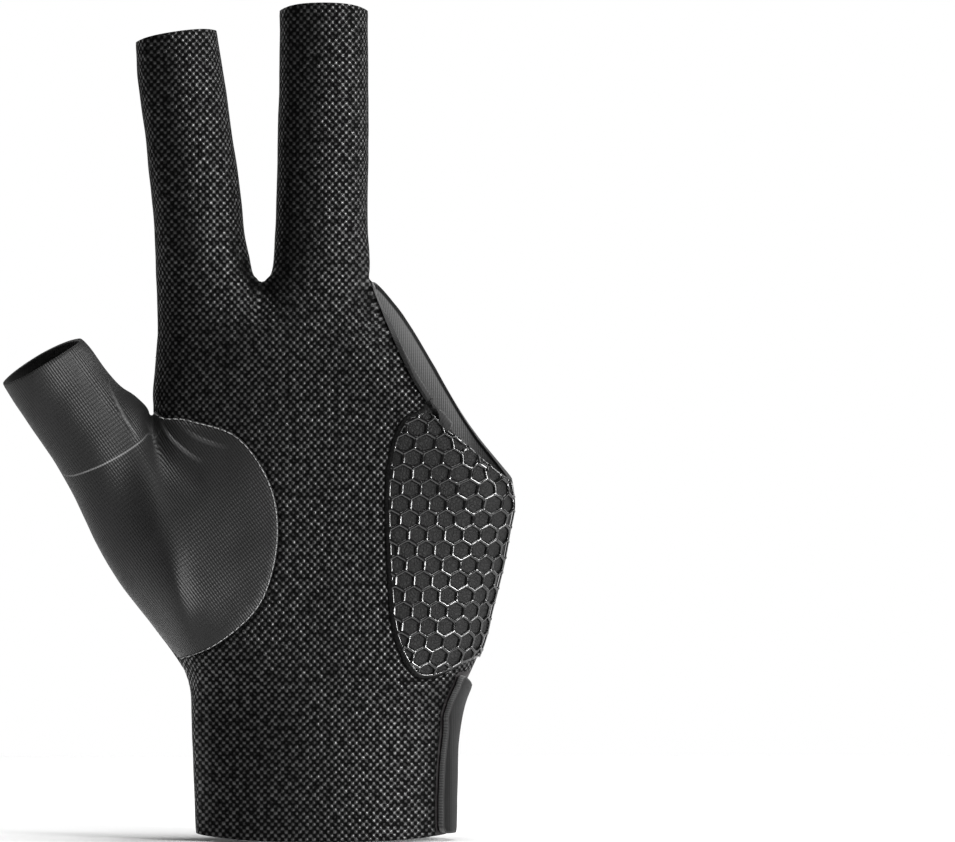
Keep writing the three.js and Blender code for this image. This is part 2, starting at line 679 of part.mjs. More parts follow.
const flatChart = (q) => [-q.reach, q.p.z];
const frontChart = (q) => [q.p.x, q.p.z];

// Outline of the net, laid flat: way round from the little-finger edge against height
function netOutline(triangles) {
  const seam = [];
  const line = smoothLine(padSeam);
  for (let i = 1; i < line.length - 1; i += 2) {
    const along = new THREE.Vector2().subVectors(line[i + 1], line[i - 1]).normalize();
    const x = line[i].x - along.y * netMargin;
    const z = line[i].y + along.x * netMargin;
    const found = pointOver(triangles, frontChart, x, z);
    if (found.inside && -found.reach > 2 * netMargin) seam.push(new THREE.Vector2(-found.reach, z));
  }
  const rim = (u) => {
    let [low, high] = [cuffHeight + palmLength * 0.3, cuffHeight + palmLength];
    for (let step = 0; step < 14; step += 1) {
      const middle = (low + high) / 2;
      if (pointOver(triangles, flatChart, u, middle).inside) low = middle;
      else high = middle;
    }
    return low - netMargin * 1.2;
  };
  const last = seam[seam.length - 1];
  const outline = seam.filter((q) => q.y < rim(q.x));
  const edge = netMargin;
  const steps = 9;
  const bottom = last.y + netMargin;
  for (let i = 0; i < steps; i += 1) {
    outline.push(new THREE.Vector2(edge, bottom + ((rim(edge) - bottom) * i) / steps));
  }
  const widest = outline[0].x;
  for (let i = 0; i < steps; i += 1) {
    const u = edge + ((widest - edge) * i) / steps;
    outline.push(new THREE.Vector2(u, rim(u)));
  }
  return outline.reverse();
}

// Moves an outline inwards by a width
function inset(outline, width) {
  return outline.map((q, i) => {
    const before = outline[(i + outline.length - 1) % outline.length];
    const after = outline[(i + 1) % outline.length];
    const along = new THREE.Vector2().subVectors(after, before).normalize();
    return new THREE.Vector2(q.x - along.y * width, q.y + along.x * width);
  });
}

function toSolid(shapes, from, to) {
  const geometry = new THREE.ExtrudeGeometry(shapes, { depth: to - from, bevelEnabled: false });
  geometry.translate(0, 0, from);
  geometry.deleteAttribute('normal');
  geometry.deleteAttribute('uv');
  const merged = mergeVertices(geometry, 1e-4);
  return new wasm.Manifold(new wasm.Mesh({
    numProp: 3,
    vertProperties: new Float32Array(merged.attributes.position.array),
    triVerts: new Uint32Array(merged.index.array),
  }));
}

// The raised net: a flat plate pierced by hexagons, then laid over the pad
function makeNet(mesh) {
  const triangles = ulnarTriangles(mesh);
  const outline = netOutline(triangles);
  const inner = inset(outline, ribWidth);
  const plate = toSolid(new THREE.Shape(outline), 0, netThickness);
  const window = toSolid(new THREE.Shape(inner), -netThickness, 2 * netThickness);
  const radius = (hexPitch - ribWidth) / Math.sqrt(3);
  const low = Math.min(...outline.map((q) => q.y));
  const high = Math.max(...outline.map((q) => q.y));
  const wide = Math.max(...outline.map((q) => q.x));
  const holes = [];
  const rowStep = (hexPitch * Math.sqrt(3)) / 2;
  for (let row = 0; low + row * rowStep < high; row += 1) {
    for (let column = 0; column * hexPitch < wide + hexPitch; column += 1) {
      const u = (column + (row % 2) / 2) * hexPitch;
      const v = low + row * rowStep;
      if (insideOf(inner, u, v) < ribWidth / 3) continue;
      const hexagon = new THREE.Shape();
      for (let k = 0; k < 6; k += 1) {
        const turn = (k * Math.PI) / 3 + Math.PI / 6;
        const at = [u + radius * Math.cos(turn), v + radius * Math.sin(turn)];
        if (k === 0) hexagon.moveTo(...at);
        else hexagon.lineTo(...at);
      }
      holes.push(hexagon);
    }
  }
  const pierced = plate.subtract(toSolid(holes, -netThickness / 2, 1.5 * netThickness).intersect(window));
  const flat = pierced.getMesh();
  const positions = [];
  for (let i = 0; i < flat.vertProperties.length; i += flat.numProp) {
    const [u, v, w] = flat.vertProperties.slice(i, i + 3);
    const over = pointOver(triangles, flatChart, u, v);
    positions.push(...over.p.clone().addScaledVector(over.n, netClearance + w).toArray());
  }
  const geometry = new THREE.BufferGeometry();
  geometry.setAttribute('position', new THREE.Float32BufferAttribute(positions, 3));
  // Way round grows against X here, so the faces are turned over
  const turned = [];
  for (let i = 0; i < flat.triVerts.length; i += 3) {
    turned.push(flat.triVerts[i], flat.triVerts[i + 2], flat.triVerts[i + 1]);
  }
  geometry.setIndex(turned);
  return geometry;
}

function makePiece(name, geometry, look) {
  geometry.computeVertexNormals();
  const mesh = new THREE.Mesh(geometry, new THREE.MeshStandardMaterial({ ...look, metalness: 0 }));
  mesh.name = name;
  return mesh;
}

putRimRow();
putPalmRows();
putCuffRows();
putStall('index', indexSections, indexLength, indexArchHeight, 0);
putStall('middle', middleSections, middleLength, middleArchHeight, 4);
putThumb();
joinCage();
measureReach();
fitCage();
const skin = makeSkin(1);
const fineSkin = makeSkin(2); // for the strap's round outline

const panels = [
  ['palm_panel', skin, 0, -fabricThickness, knit],
  ['back_panel', skin, 0, -fabricThickness, lycra],
  ['thumb_panel', skin, 0, -fabricThickness, thumbLycra],
  ['grip_pad', skin, 0, -padThickness, padCloth],
  ['wristband', skin, 0, -fabricThickness, lycra],
  ['strap', fineSkin, strapClearance + strapThickness, strapClearance, webbing],
];
const glove = new THREE.Group();
for (const [name, source, outer, inner, look] of panels) {
  glove.add(makePiece(name, thicken(clipSkin(source, panelFields[name]), outer, inner), look));
}
glove.add(makePiece('grip_net', makeNet(skin), silicone));

export default glove;
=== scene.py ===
import math
import bpy
import numpy as np
from functools import partial
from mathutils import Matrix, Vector, noise
from mathutils.bvhtree import BVHTree
from mathutils.kdtree import KDTree


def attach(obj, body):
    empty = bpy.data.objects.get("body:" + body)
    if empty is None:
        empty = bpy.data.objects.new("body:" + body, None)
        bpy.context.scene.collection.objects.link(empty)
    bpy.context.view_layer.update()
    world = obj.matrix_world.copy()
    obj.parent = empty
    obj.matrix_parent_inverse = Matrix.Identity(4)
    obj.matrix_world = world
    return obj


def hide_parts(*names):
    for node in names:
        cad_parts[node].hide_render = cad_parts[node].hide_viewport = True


# Three-finger billiard glove for the left hand: palm towards -Y, thumb towards -X, wrist on the floor.
# Shapes are worked out in millimetres, and makeObject turns them to metres.
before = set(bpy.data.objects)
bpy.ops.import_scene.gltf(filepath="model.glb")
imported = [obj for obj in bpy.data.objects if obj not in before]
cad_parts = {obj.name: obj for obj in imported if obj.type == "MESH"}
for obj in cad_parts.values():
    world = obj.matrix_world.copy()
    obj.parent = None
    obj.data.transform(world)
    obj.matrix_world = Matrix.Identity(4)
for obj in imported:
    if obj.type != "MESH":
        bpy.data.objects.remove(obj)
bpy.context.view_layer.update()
scene = bpy.context.scene
mm = 0.001

# The hand form that all panels are cut from. Nudges even out the outline: x, y, z, shift in x, radius
hand = {
    "cuffHeight": 36.3, "palmLength": 100.2, "palmWidth": 89.0, "palmDepth": 29.0,
    "wristWidth": 63.7, "wristDepth": 42.0,
    "indexLength": 60.3, "middleLength": 65.7, "stallWidth": 22.8, "stallDepth": 20.0,
    "indexArch": 0.9, "middleArch": 1.7,
    "thumbLength": 55.5, "thumbDepth": 18.4, "thumbLean": 9.0, "mouthTilt": 1.7, "thenarDepth": 31.0,
    "openingDepth": 24.0, "hemRise": 1.3, "squareness": 2.3, "levels": 3, "fitRounds": 3,
    "evenRadius": 5.0, "evenRounds": 16,
    "nudges": [(11.75, 0, 139.2, 0.65, 2.0), (12.2, 0, 142.6, -0.15, 1.2), (-58.5, -8.0, 121.5, 1.6, 7.0),
               (-43.8, -2.0, 105.0, 1.3, 2.8)],
}

# radialX, radialUp, webX, webUp, ringX, ringUp, ulnarX, ulnarUp, front, back
palmSections = [
    (-0.449, 1.0, -0.16, 1.0, 0.143, 1.0, 0.534, 0.513, 0.4, 0.4),
    (-0.449, 0.87, -0.168, 0.885, 0.123, 0.86, 0.53, 0.456, 0.45, 0.48),
    (-0.46, 0.735, -0.174, 0.775, 0.109, 0.735, 0.523, 0.4, 0.47, 0.51),
    (-0.466, 0.679, -0.176, 0.665, 0.102, 0.611, 0.512, 0.345, 0.48, 0.52),
    (-0.441, 0.526, -0.171, 0.501, 0.094, 0.44, 0.493, 0.262, 0.52, 0.54),
    (-0.418, 0.367, -0.16, 0.33, 0.097, 0.289, 0.468, 0.181, 0.58, 0.57),
    (-0.394, 0.196, -0.143, 0.171, 0.105, 0.147, 0.444, 0.103, 0.64, 0.62),
    (-0.372, 0.047, -0.121, 0.015, 0.121, 0.015, 0.399, 0.015, 0.7, 0.68),
]
# up, radial side, ulnar side, depth
cuffSections = [(0.83, -0.495, 0.519, 0.97), (0.49, -0.487, 0.5, 1.0), (0.0, -0.477, 0.495, 1.02)]
# leftX and rightX from the stall's middle, shares of stallWidth; leftUp and rightUp, of its length; depth
indexSections = [(-0.581, 0.116, 0.496, 0.0125, 1.2), (-0.603, 0.24, 0.443, 0.083, 1.13),
                 (-0.64, 0.398, 0.379, 0.207, 1.04), (-0.695, 0.58, 0.32, 0.415, 1.0),
                 (-0.761, 0.779, 0.21, 0.697, 0.96), (-0.798, 0.968, 0.088, 1.017, 0.93)]
middleSections = [(-0.521, 0.0115, 0.578, 0.07, 1.2), (-0.464, 0.076, 0.563, 0.135, 1.14),
                  (-0.445, 0.19, 0.555, 0.244, 1.05), (-0.423, 0.396, 0.555, 0.457, 1.0),
                  (-0.412, 0.7, 0.56, 0.716, 0.97), (-0.402, 1.006, 0.56, 1.006, 0.96)]
# upperX, upperUp, lowerX, lowerUp, depth, lean
thumbSections = [(-0.059, 0.055, -0.218, 0.295, 1.42, 0.3), (-0.115, 0.102, -0.395, 0.578, 1.22, 0.5),
                 (-0.18, 0.168, -0.532, 0.86, 1.08, 0.68), (-0.255, 0.249, -0.668, 1.063, 1.02, 0.84),
                 (-0.327, 0.324, -0.796, 1.266, 1.0, 1.0)]
thenarSections = [(0.44, 0.36), (0.6, 0.42), (0.6, 0.44)]  # front and back depth
# frontAlong, frontOut, backAlong, backOut, depth
openingSections = [(0.185, -0.051, 0.181, 0.022, 0.4), (0.46, -0.102, 0.478, 0.001, 0.5),
                   (0.743, -0.078, 0.777, -0.017, 0.38)]
columnShares = [(0.2, 0.48, 0.76, 1.0), (0.25, 0.5, 0.75, 1.0), (0.3, 0.6, 0.86, 1.0)]
lastColumn, crotchRow, creaseRow = 12, 3, 7

# Seam lines as seen from the palm: x is a share of palmWidth, up a share of palmLength
patchSeam = [(-0.55, 0.9), (-0.462, 0.69), (-0.361, 0.663), (-0.223, 0.621), (-0.132, 0.506), (-0.11, 0.369),
             (-0.151, 0.223), (-0.25, 0.13), (-0.369, 0.078), (-0.6, 0.03)]
thumbBackSeam = [(-0.55, 0.9), (-0.465, 0.69), (-0.475, 0.6), (-0.492, 0.47), (-0.506, 0.34), (-0.56, 0.24),
                 (-0.75, 0.18)]
backSeam = [(-0.7, 0.97), (-0.47, 0.88), (-0.441, 0.8), (-0.434, 0.71), (-0.43, 0.57), (-0.428, 0.4),
            (-0.41, 0.26), (-0.385, 0.15), (-0.352, 0.05), (-0.362, -0.02), (-0.45, -0.07)]
padSeam = [(0.36, 0.78), (0.281, 0.69), (0.239, 0.67), (0.209, 0.633), (0.187, 0.562), (0.179, 0.457),
           (0.184, 0.318), (0.195, 0.176), (0.22, 0.093), (0.264, 0.036), (0.317, 0.032), (0.366, 0.049),
           (0.424, 0.073), (0.6, 0.1)]

cagePoints, cageSides, cageQuads, cageNames = [], [], [], {}


def put(key, x, y, z, side):
    cageNames[key] = len(cagePoints)
    cagePoints.append((x, y, z))
    cageSides.append(side)


def find(block, row, column, side):
    return cageNames.get((block, row, column), cageNames.get((block, row, column, side)))


def spot(x, up):
    return np.array((x * hand["palmWidth"], hand["cuffHeight"] + up * hand["palmLength"]))


def halfRound(points, side, depth, turn, lean=0.0, across=(0.0, 0.0)):
    # Place on a half ellipse between two outline points, for a turn from 0 to pi
    t = (1 - math.cos(turn)) / 2
    x, z = points[0] + (points[1] - points[0]) * t + np.array(across) * math.sin(turn)
    return x, lean + side * depth * math.sin(turn), z


def putPalm():
    for row, section in enumerate(palmSections):
        corners = [spot(section[2 * i], section[2 * i + 1]) for i in range(4)]
        path = [corners[0]]
        for i, shares in enumerate(columnShares):
            path += [corners[i] + (corners[i + 1] - corners[i]) * t for t in shares]
        carriesThumb = crotchRow < row < creaseRow
        middle = (path[0][0] + path[-1][0]) / 2
        half = (path[-1][0] - path[0][0]) / 2
        for k in ([0, 4, 8, 12] if row == 0 else [12] if carriesThumb else [0, 12]):
            put(("palm", row, k), path[k][0], 0, path[k][1], 0)
        for side in (-1, 1):
            deep = section[8 if side < 0 else 9] * hand["palmDepth"]
            if row == 0:
                for k in (1, 2, 3, 5, 6, 7):
                    ends = corners[k // 4:k // 4 + 2]
                    put(("palm", 0, k, side), *halfRound(ends, side, deep, k % 4 * math.pi / 4), side)
                chord = corners[3] - corners[2]
                for k, rim in enumerate(openingSections):
                    along, out = rim[:2] if side < 0 else rim[2:4]
                    x, z = corners[2] + chord * along + np.array((-chord[1], chord[0])) * out
                    put(("palm", 0, 9 + k, side), x, side * rim[4] * hand["openingDepth"], z, side)
                continue
            for k in range(0 if carriesThumb else 1, lastColumn):
                u = (path[k][0] - middle) / half
                depth = deep * (1 - min(abs(u), 1) ** hand["squareness"]) ** (1 / hand["squareness"])
                if carriesThumb and u < 0:
                    edge = thenarSections[row - crotchRow - 1][0 if side < 0 else 1] * hand["thenarDepth"]
                    depth = deep + (edge - deep) * u * u
                put(("palm", row, k, side), path[k][0], side * depth, path[k][1], side)
    for i, (up, radial, ulnar, depth) in enumerate(cuffSections):
        row = len(palmSections) + i
        ends = [np.array((share * hand["wristWidth"], up * hand["cuffHeight"])) for share in (radial, ulnar)]
        rise = hand["hemRise"] if i == len(cuffSections) - 1 else 0
        for k in (0, 1):
            put(("palm", row, k * lastColumn), ends[k][0], 0, ends[k][1] + rise, 0)
        for side in (-1, 1):
            for k in range(1, lastColumn):
                turn = k * math.pi / lastColumn
                x, y, z = halfRound(ends, side, depth * hand["wristDepth"] / 2, turn)
                put(("palm", row, k, side), x, y, z + rise * abs(math.cos(turn)) ** 3, side)


def putRing(name, row, ends, depth, shifts, lean=0.0):
    # A stall's row between two outline points; shifts move the middle of its front and of its back
    for k in (0, 1):
        put((name, row, 4 * k), ends[k][0], lean, ends[k][1], 0)
    for side, shift in zip((-1, 1), shifts):
        for k in (1, 2, 3):
            put((name, row, k, side), *halfRound(ends, side, depth, k * math.pi / 4, lean, shift), side)


def putStall(name, sections, length, firstColumn):
    a, b = (np.array(cagePoints[find("palm", 0, firstColumn + k, 0)]) for k in (0, 4))
    base = (a + b) / 2
    for i, (leftX, leftUp, rightX, rightUp, depth) in enumerate(sections):
        ends = [np.array((base[0] + x * hand["stallWidth"], base[2] + up * length))
                for x, up in ((leftX, leftUp), (rightX, rightUp))]
        rise = hand[name + "Arch"] if i == len(sections) - 1 else 0
        putRing(name, i + 1, ends, depth * hand["stallDepth"] / 2, [(0, rise)] * 2)


def putThumb():
    crotch, crease = (np.array(cagePoints[find("palm", row, 0, 0)])[[0, 2]] for row in (crotchRow, creaseRow))
    for i, (upperX, upperUp, lowerX, lowerUp, depth, lean) in enumerate(thumbSections):
        upper = crotch + np.array((upperX, upperUp)) * hand["thumbLength"]
        lower = crease + np.array((lowerX, lowerUp)) * hand["thumbLength"]
        across = lower - upper
        tilt = hand["mouthTilt"] / np.linalg.norm(across) if i == len(thumbSections) - 1 else 0
        shift = tilt * np.array((across[1], -across[0]))
        putRing("thumb", i + 1, (upper, lower), depth * hand["thumbDepth"] / 2, (-shift, shift),
                -lean * hand["thumbLean"])


def joinCage():
    rows = len(palmSections) + len(cuffSections)
    for side in (-1, 1):
        sheets = [[[find("palm", r, k, side) for k in range(lastColumn + 1)] for r in range(rows)]]
        for name, first, sections in (("index", 0, indexSections), ("middle", 4, middleSections)):
            base = [find("palm", 0, first + k, side) for k in range(5)]
            rings = [[find(name, i + 1, k, side) for k in range(5)] for i in range(len(sections))]
            sheets.append(rings[::-1] + [base])
        base = [find("palm", crotchRow + k, 0, side) for k in range(5)]
        rings = [[find("thumb", i + 1, k, side) for k in range(5)] for i in range(len(thumbSections))]
        sheets.append([list(line) for line in zip(*(rings[::-1] + [base]))])
        for sheet in sheets:
            for upper, lower in zip(sheet, sheet[1:]):
                for k in range(len(upper) - 1):
                    quad = [upper[k], lower[k], lower[k + 1], upper[k + 1]]
                    cageQuads.append(quad if side < 0 else quad[::-1])


def reachOfCage():
    # Way round each row from the little-finger edge, level with the ground
    reach = np.zeros(len(cagePoints))
    for side in (-1, 1):
        for row in range(len(palmSections) + len(cuffSections)):
            length = 0
            for k in range(lastColumn - 1, 0, -1):
                here, before = find("palm", row, k, side), find("palm", row, k + 1, side)
                length += math.dist(cagePoints[here][:2], cagePoints[before][:2])
                reach[here] = side * length
    return reach


def makeObject(name, points, faces, scale=1.0):
    mesh = bpy.data.meshes.new(name)
    mesh.from_pydata((np.asarray(points) * scale).tolist(), [], [list(map(int, face)) for face in faces])
    item = bpy.data.objects.new(name, mesh)
    scene.collection.objects.link(item)
    return item


def applyModifier(item, kind, **settings):
    bpy.ops.object.select_all(action="DESELECT")
    bpy.context.view_layer.objects.active = item
    item.select_set(True)
    modifier = item.modifiers.new(kind, kind)
    for name, value in settings.items():
        setattr(modifier, name, value)
    bpy.ops.object.modifier_apply(modifier=modifier.name)


def readOut(parts, name, width=1, kind=float):
    flat = np.empty(len(parts) * width, dtype=kind)
    parts.foreach_get(name, flat)
    return flat.reshape(-1, width) if width > 1 else flat


def writeLayer(mesh, name, values):
    mesh.attributes.new(name, "FLOAT", "POINT").data.foreach_set("value", np.asarray(values, dtype=float))


# Columns of a row of numbers kept for each corner: place, normal, side, reach, way to the nearest opening
place, normalAt, sideAt, reachAt, rimAt = slice(0, 3), slice(3, 6), 6, 7, 8


def faceNormals(points, faces):
    corners = np.array(faces)
    a, b, c, d = (points[corners[:, k]] for k in range(4))
    total = np.zeros_like(points)
    for k in range(4):
        np.add.at(total, corners[:, k], np.cross(c - a, d - b))
    return total / np.maximum(np.linalg.norm(total, axis=1), 1e-9)[:, None]


def relaxNear(points, faces, spots, level):
    # Evens out the surface where the stalls meet the palm; the spots themselves stay
    counted = edgesOf(faces)
    edges = np.array(list(counted))
    fixed = np.array([edge for edge, count in counted.items() if count == 1]).ravel()
    away = np.array([np.linalg.norm(points - spot, axis=1) for spot in spots + level])
    weight = np.clip(1.3 - away.min(axis=0) / hand["evenRadius"], 0, 1)[:, None]
    weight[fixed] = 0
    weight[away[:len(spots)].argmin(axis=1)] = 0
    number = np.bincount(edges.ravel(), minlength=len(points))[:, None]
    for _ in range(hand["evenRounds"]):
        total = np.zeros_like(points)
        np.add.at(total, edges[:, 0], points[edges[:, 1]])
        np.add.at(total, edges[:, 1], points[edges[:, 0]])
        points = points + (total / number - points) * weight
    return points


def makeSkin():
    putPalm()
    putStall("index", indexSections, hand["indexLength"], 0)
    putStall("middle", middleSections, hand["middleLength"], 4)
    putThumb()
    joinCage()
    item = makeObject("handForm", cagePoints, cageQuads)
    writeLayer(item.data, "side", cageSides)
    writeLayer(item.data, "reach", reachOfCage())
    smooth = item.modifiers.new("smooth", "SUBSURF")
    smooth.levels = smooth.render_levels = 1
    wanted = np.array(cagePoints, dtype=float)
    moved = wanted.copy()
    for _ in range(hand["fitRounds"]):  # the cage moves until its smooth surface passes through the sections
        item.data.vertices.foreach_set("co", moved.ravel())
        item.data.update()
        reached = readOut(item.evaluated_get(bpy.context.evaluated_depsgraph_get()).data.vertices, "co", 3)
        moved += wanted - reached[:len(wanted)]
    item.data.vertices.foreach_set("co", moved.ravel())
    item.modifiers.clear()
    applyModifier(item, "SUBSURF", levels=hand["levels"], render_levels=hand["levels"])
    faces = [list(polygon.vertices) for polygon in item.data.polygons]
    spots = [wanted[find("palm", 0, k, 0)] for k in (4, 8)]
    level = [wanted[find("palm", 0, k, side)] for k in (1, 2, 3, 5, 6, 7) for side in (-1, 1)]
    points = relaxNear(readOut(item.data.vertices, "co", 3), faces, spots, level)
    for x, y, z, shift, radius in hand["nudges"]:
        away = ((points - (x, y, z)) / radius) ** 2 @ (1, 0.4, 1)
        points[:, 0] += shift * np.exp(-away)
    layers = [readOut(item.data.attributes[name].data, "value") for name in ("side", "reach")]
    skin = np.column_stack([points, faceNormals(points, faces), *layers])
    bpy.data.objects.remove(item)
    return skin, faces


def smoothLine(rows):
    spots = [spot(*row) for row in rows]
    last, line = len(rows) - 1, []
    for at in np.linspace(0, last, len(rows) * 5 + 1):
        k = int(at)
        t = at - k
        p0, p1, p2, p3 = (spots[min(max(k + step, 0), last)] for step in (-1, 0, 1, 2))
        v0, v1 = (p2 - p0) / 2, (p3 - p1) / 2
        line.append((2 * p1 - 2 * p2 + v0 + v1) * t ** 3 + (3 * p2 - 3 * p1 - 2 * v0 - v1) * t ** 2 + v0 * t + p1)
    return line


def offSegment(a, b, x, z):
    dx, dz = b[0] - a[0], b[1] - a[1]
    t = np.clip(((x - a[0]) * dx + (z - a[1]) * dz) / (dx * dx + dz * dz + 1e-9), 0, 1)
    return np.hypot(x - a[0] - t * dx, z - a[1] - t * dz)


def insideOf(outline, x, z):
    # Distance to a closed line, positive inside, for all corners at once
    nearest = np.full(x.shape, 1e9)
    inside = np.zeros(x.shape, dtype=bool)
    for a, b in zip(outline, outline[1:] + outline[:1]):
        nearest = np.minimum(nearest, offSegment(a, b, x, z))
        if a[1] != b[1]:
            inside ^= ((a[1] > z) != (b[1] > z)) & (x < a[0] + (z - a[1]) * (b[0] - a[0]) / (b[1] - a[1]))
    return np.where(inside, nearest, -nearest)


seams = {"sideScale": 7.0, "backHem": 0.955, "strapFront": 9.3, "strapReach": 38.5, "tabHeight": 31.0,
         "tabLift": 1.5, "tabStart": 14.0, "slitHeight": 40.8, "foldHeight": 36.4}
far = 3 * hand["palmWidth"]
topEnd = hand["cuffHeight"] + hand["palmLength"]
leftEnds = [np.array((-far, 0)), np.array((-far, topEnd))]
patchOutline, thumbBackOutline = smoothLine(patchSeam) + leftEnds, smoothLine(thumbBackSeam) + leftEnds
backOutline = smoothLine(backSeam) + [np.array(p) for p in ((0, -far), (far, -far), (far, far), (-far, far))]
padOutline = smoothLine(padSeam) + [np.array((far, hand["cuffHeight"])), np.array((far, topEnd))]


def strapOutline():
    # The strap laid flat: way round from the little-finger edge against height
    radius = seams["tabHeight"] / 2
    low, high = seams["tabLift"], seams["tabLift"] + seams["tabHeight"]
    centre = seams["strapReach"] - radius
    line = [(-seams["strapFront"], low)]
    line += [(centre + radius * math.sin(turn), low + radius - radius * math.cos(turn))
             for turn in np.linspace(0, math.pi, 25)]
    bends = [(seams["tabStart"], high), (seams["strapFront"], seams["foldHeight"]),
             (seams["strapFront"] / 2, seams["foldHeight"]), (-seams["strapFront"], seams["slitHeight"])]
    for t in np.linspace(0, 1, 21):
        line.append(np.dot(((1 - t) ** 3, 3 * t * (1 - t) ** 2, 3 * t * t * (1 - t), t ** 3), bends))
    return [np.array(p) for p in line]


def least(*fields):
    return np.min(fields, axis=0)


def panelField(name, rows):
    # How far inside a panel each corner lies, in millimetres
    x, z, side, reach = rows[:, 0], rows[:, 2], rows[:, sideAt], rows[:, reachAt]
    thumb = np.where(side < 0, insideOf(patchOutline, x, z), insideOf(thumbBackOutline, x, z))
    pad = least(insideOf(padOutline, x, z), -side * seams["sideScale"])
    slit = least(reach + seams["strapFront"], seams["slitHeight"] - z, x)
    backShape = insideOf(backOutline, x, z)
    back = least(backShape, side * seams["sideScale"])
    hem = z - seams["backHem"] * hand["cuffHeight"]
    thumbEdge = np.where(x < 0, side * seams["sideScale"], 1e9)
    fields = {
        "palm": least(-back, -thumb, -pad, np.where(side < 0, -slit, 1e9)),
        "back": least(back, -thumb, hem),
        "thumb": thumb,
        "pad": pad,
        "wristband": np.where((side > 0) | (x < 0), least(backShape, -hem, thumbEdge), slit),
        "strap": least(insideOf(strapOutline(), reach, z), seams["slitHeight"] - z, x + hand["wristWidth"] / 4),
    }
    return fields[name]


def edgesOf(faces):
    edges = {}
    for face in faces:
        for i, j in zip(face, face[1:] + face[:1]):
            key = (i, j) if i < j else (j, i)
            edges[key] = edges.get(key, 0) + 1
    return edges


def snapToLine(rows, faces, values, closest=0.3):
    # Corners that nearly lie on the cutting line are moved onto it, so no slivers are left
    edges = edgesOf(faces)
    onRim = {i for key, count in edges.items() if count == 1 for i in key}
    best = {}
    for (i, j), count in edges.items():
        if values[i] * values[j] >= 0:
            continue
        t = values[i] / (values[i] - values[j])
        for here, there, share in ((i, j, t), (j, i, 1 - t)):
            if share < closest and (here not in onRim or count == 1) and share < best.get(here, (1, 0))[0]:
                best[here] = (share, there)
    old = rows.copy()
    for i, (share, j) in best.items():
        rows[i] = old[i] * (1 - share) + old[j] * share
        values[i] = 0.0
    return rows, values


def cutAlong(rows, faces, values, keepOutside=False):
    # Splits every face that the zero line crosses, and drops or keeps what lies outside
    rows, values = snapToLine(rows.copy(), faces, values.copy())
    rows, values, made, kept = list(rows), list(values), {}, []
    for face in faces:
        inside, outside = [], []
        for i, j in zip(face, face[1:] + face[:1]):
            if values[i] >= 0:
                inside.append(i)
            if values[i] <= 0:
                outside.append(i)
            if values[i] * values[j] < 0:
                key = (i, j) if i < j else (j, i)
                if key not in made:
                    a, b = key
                    t = values[a] / (values[a] - values[b])
                    made[key] = len(rows)
                    rows.append(rows[a] * (1 - t) + rows[b] * t)
                    values.append(0.0)
                inside.append(made[key])
                outside.append(made[key])
        if len(inside) > 2 and max(values[i] for i in inside) > 0:
            kept.append(inside)
        if keepOutside and len(outside) > 2 and min(values[i] for i in outside) < 0:
            kept.append(outside)
    used = sorted({i for face in kept for i in face})
    renumber = {i: n for n, i in enumerate(used)}
    return np.array(rows)[used], [[renumber[i] for i in face] for face in kept]


def distanceToRim(rows, faces):
    rim = [key for key, count in edgesOf(faces).items() if count == 1]
    samples = []
    for i, j in rim:
        a, b = rows[i, place], rows[j, place]
        count = max(1, int(np.linalg.norm(b - a) / 0.2))
        samples += [a + (b - a) * k / count for k in range(count)]
    tree = KDTree(len(samples))
    for n, point in enumerate(samples):
        tree.insert(point, n)
    tree.balance()
    return np.array([tree.find(point)[2] for point in rows[:, place]])


def rollEdges(rows, faces, roll):
    # Two more rows of corners beside each edge, then the edge turned in like a sewn one
    for width in (roll["width"] * 0.4, roll["width"]):
        rows, faces = cutAlong(rows, faces, distanceToRim(rows, faces) - width, True)
    near = distanceToRim(rows, faces)
    sewn = np.clip(rows[:, rimAt] / roll["width"] - 0.3, 0, 1)
    drop = roll["openDrop"] + (roll["drop"] - roll["openDrop"]) * sewn
    rows[:, place] -= rows[:, normalAt] * (drop * np.clip(1 - near / roll["width"], 0, 1) ** 2)[:, None]
    return rows, faces, near


weave = {"letOut": 5.2, "power": 1.6, "cornerFade": 13.0}


def weaveAt(rows):
    # Cloth laid flat: place seen from the palm, let out where the surface turns away at the sides
    out = rows[:, [3, 5]]
    out = out / np.maximum(np.linalg.norm(out, axis=1), 1e-6)[:, None]
    let = weave["letOut"] * (1 - np.minimum(np.abs(rows[:, sideAt]), 1)) ** weave["power"]
    for corner in (4, 8):  # not at the two corners between the stalls and the palm
        x, _, z = cagePoints[find("palm", 0, corner, 0)]
        let *= np.clip(np.hypot(rows[:, 0] - x, rows[:, 2] - z) / weave["cornerFade"] - 0.1, 0, 1)
    return rows[:, [0, 2]] + out * let[:, None]


def finishPiece(item, slotName, node=None):
    for polygon in item.data.polygons:
        polygon.use_smooth = True
    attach(item, "root")
    if node:
        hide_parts(node)
    return item


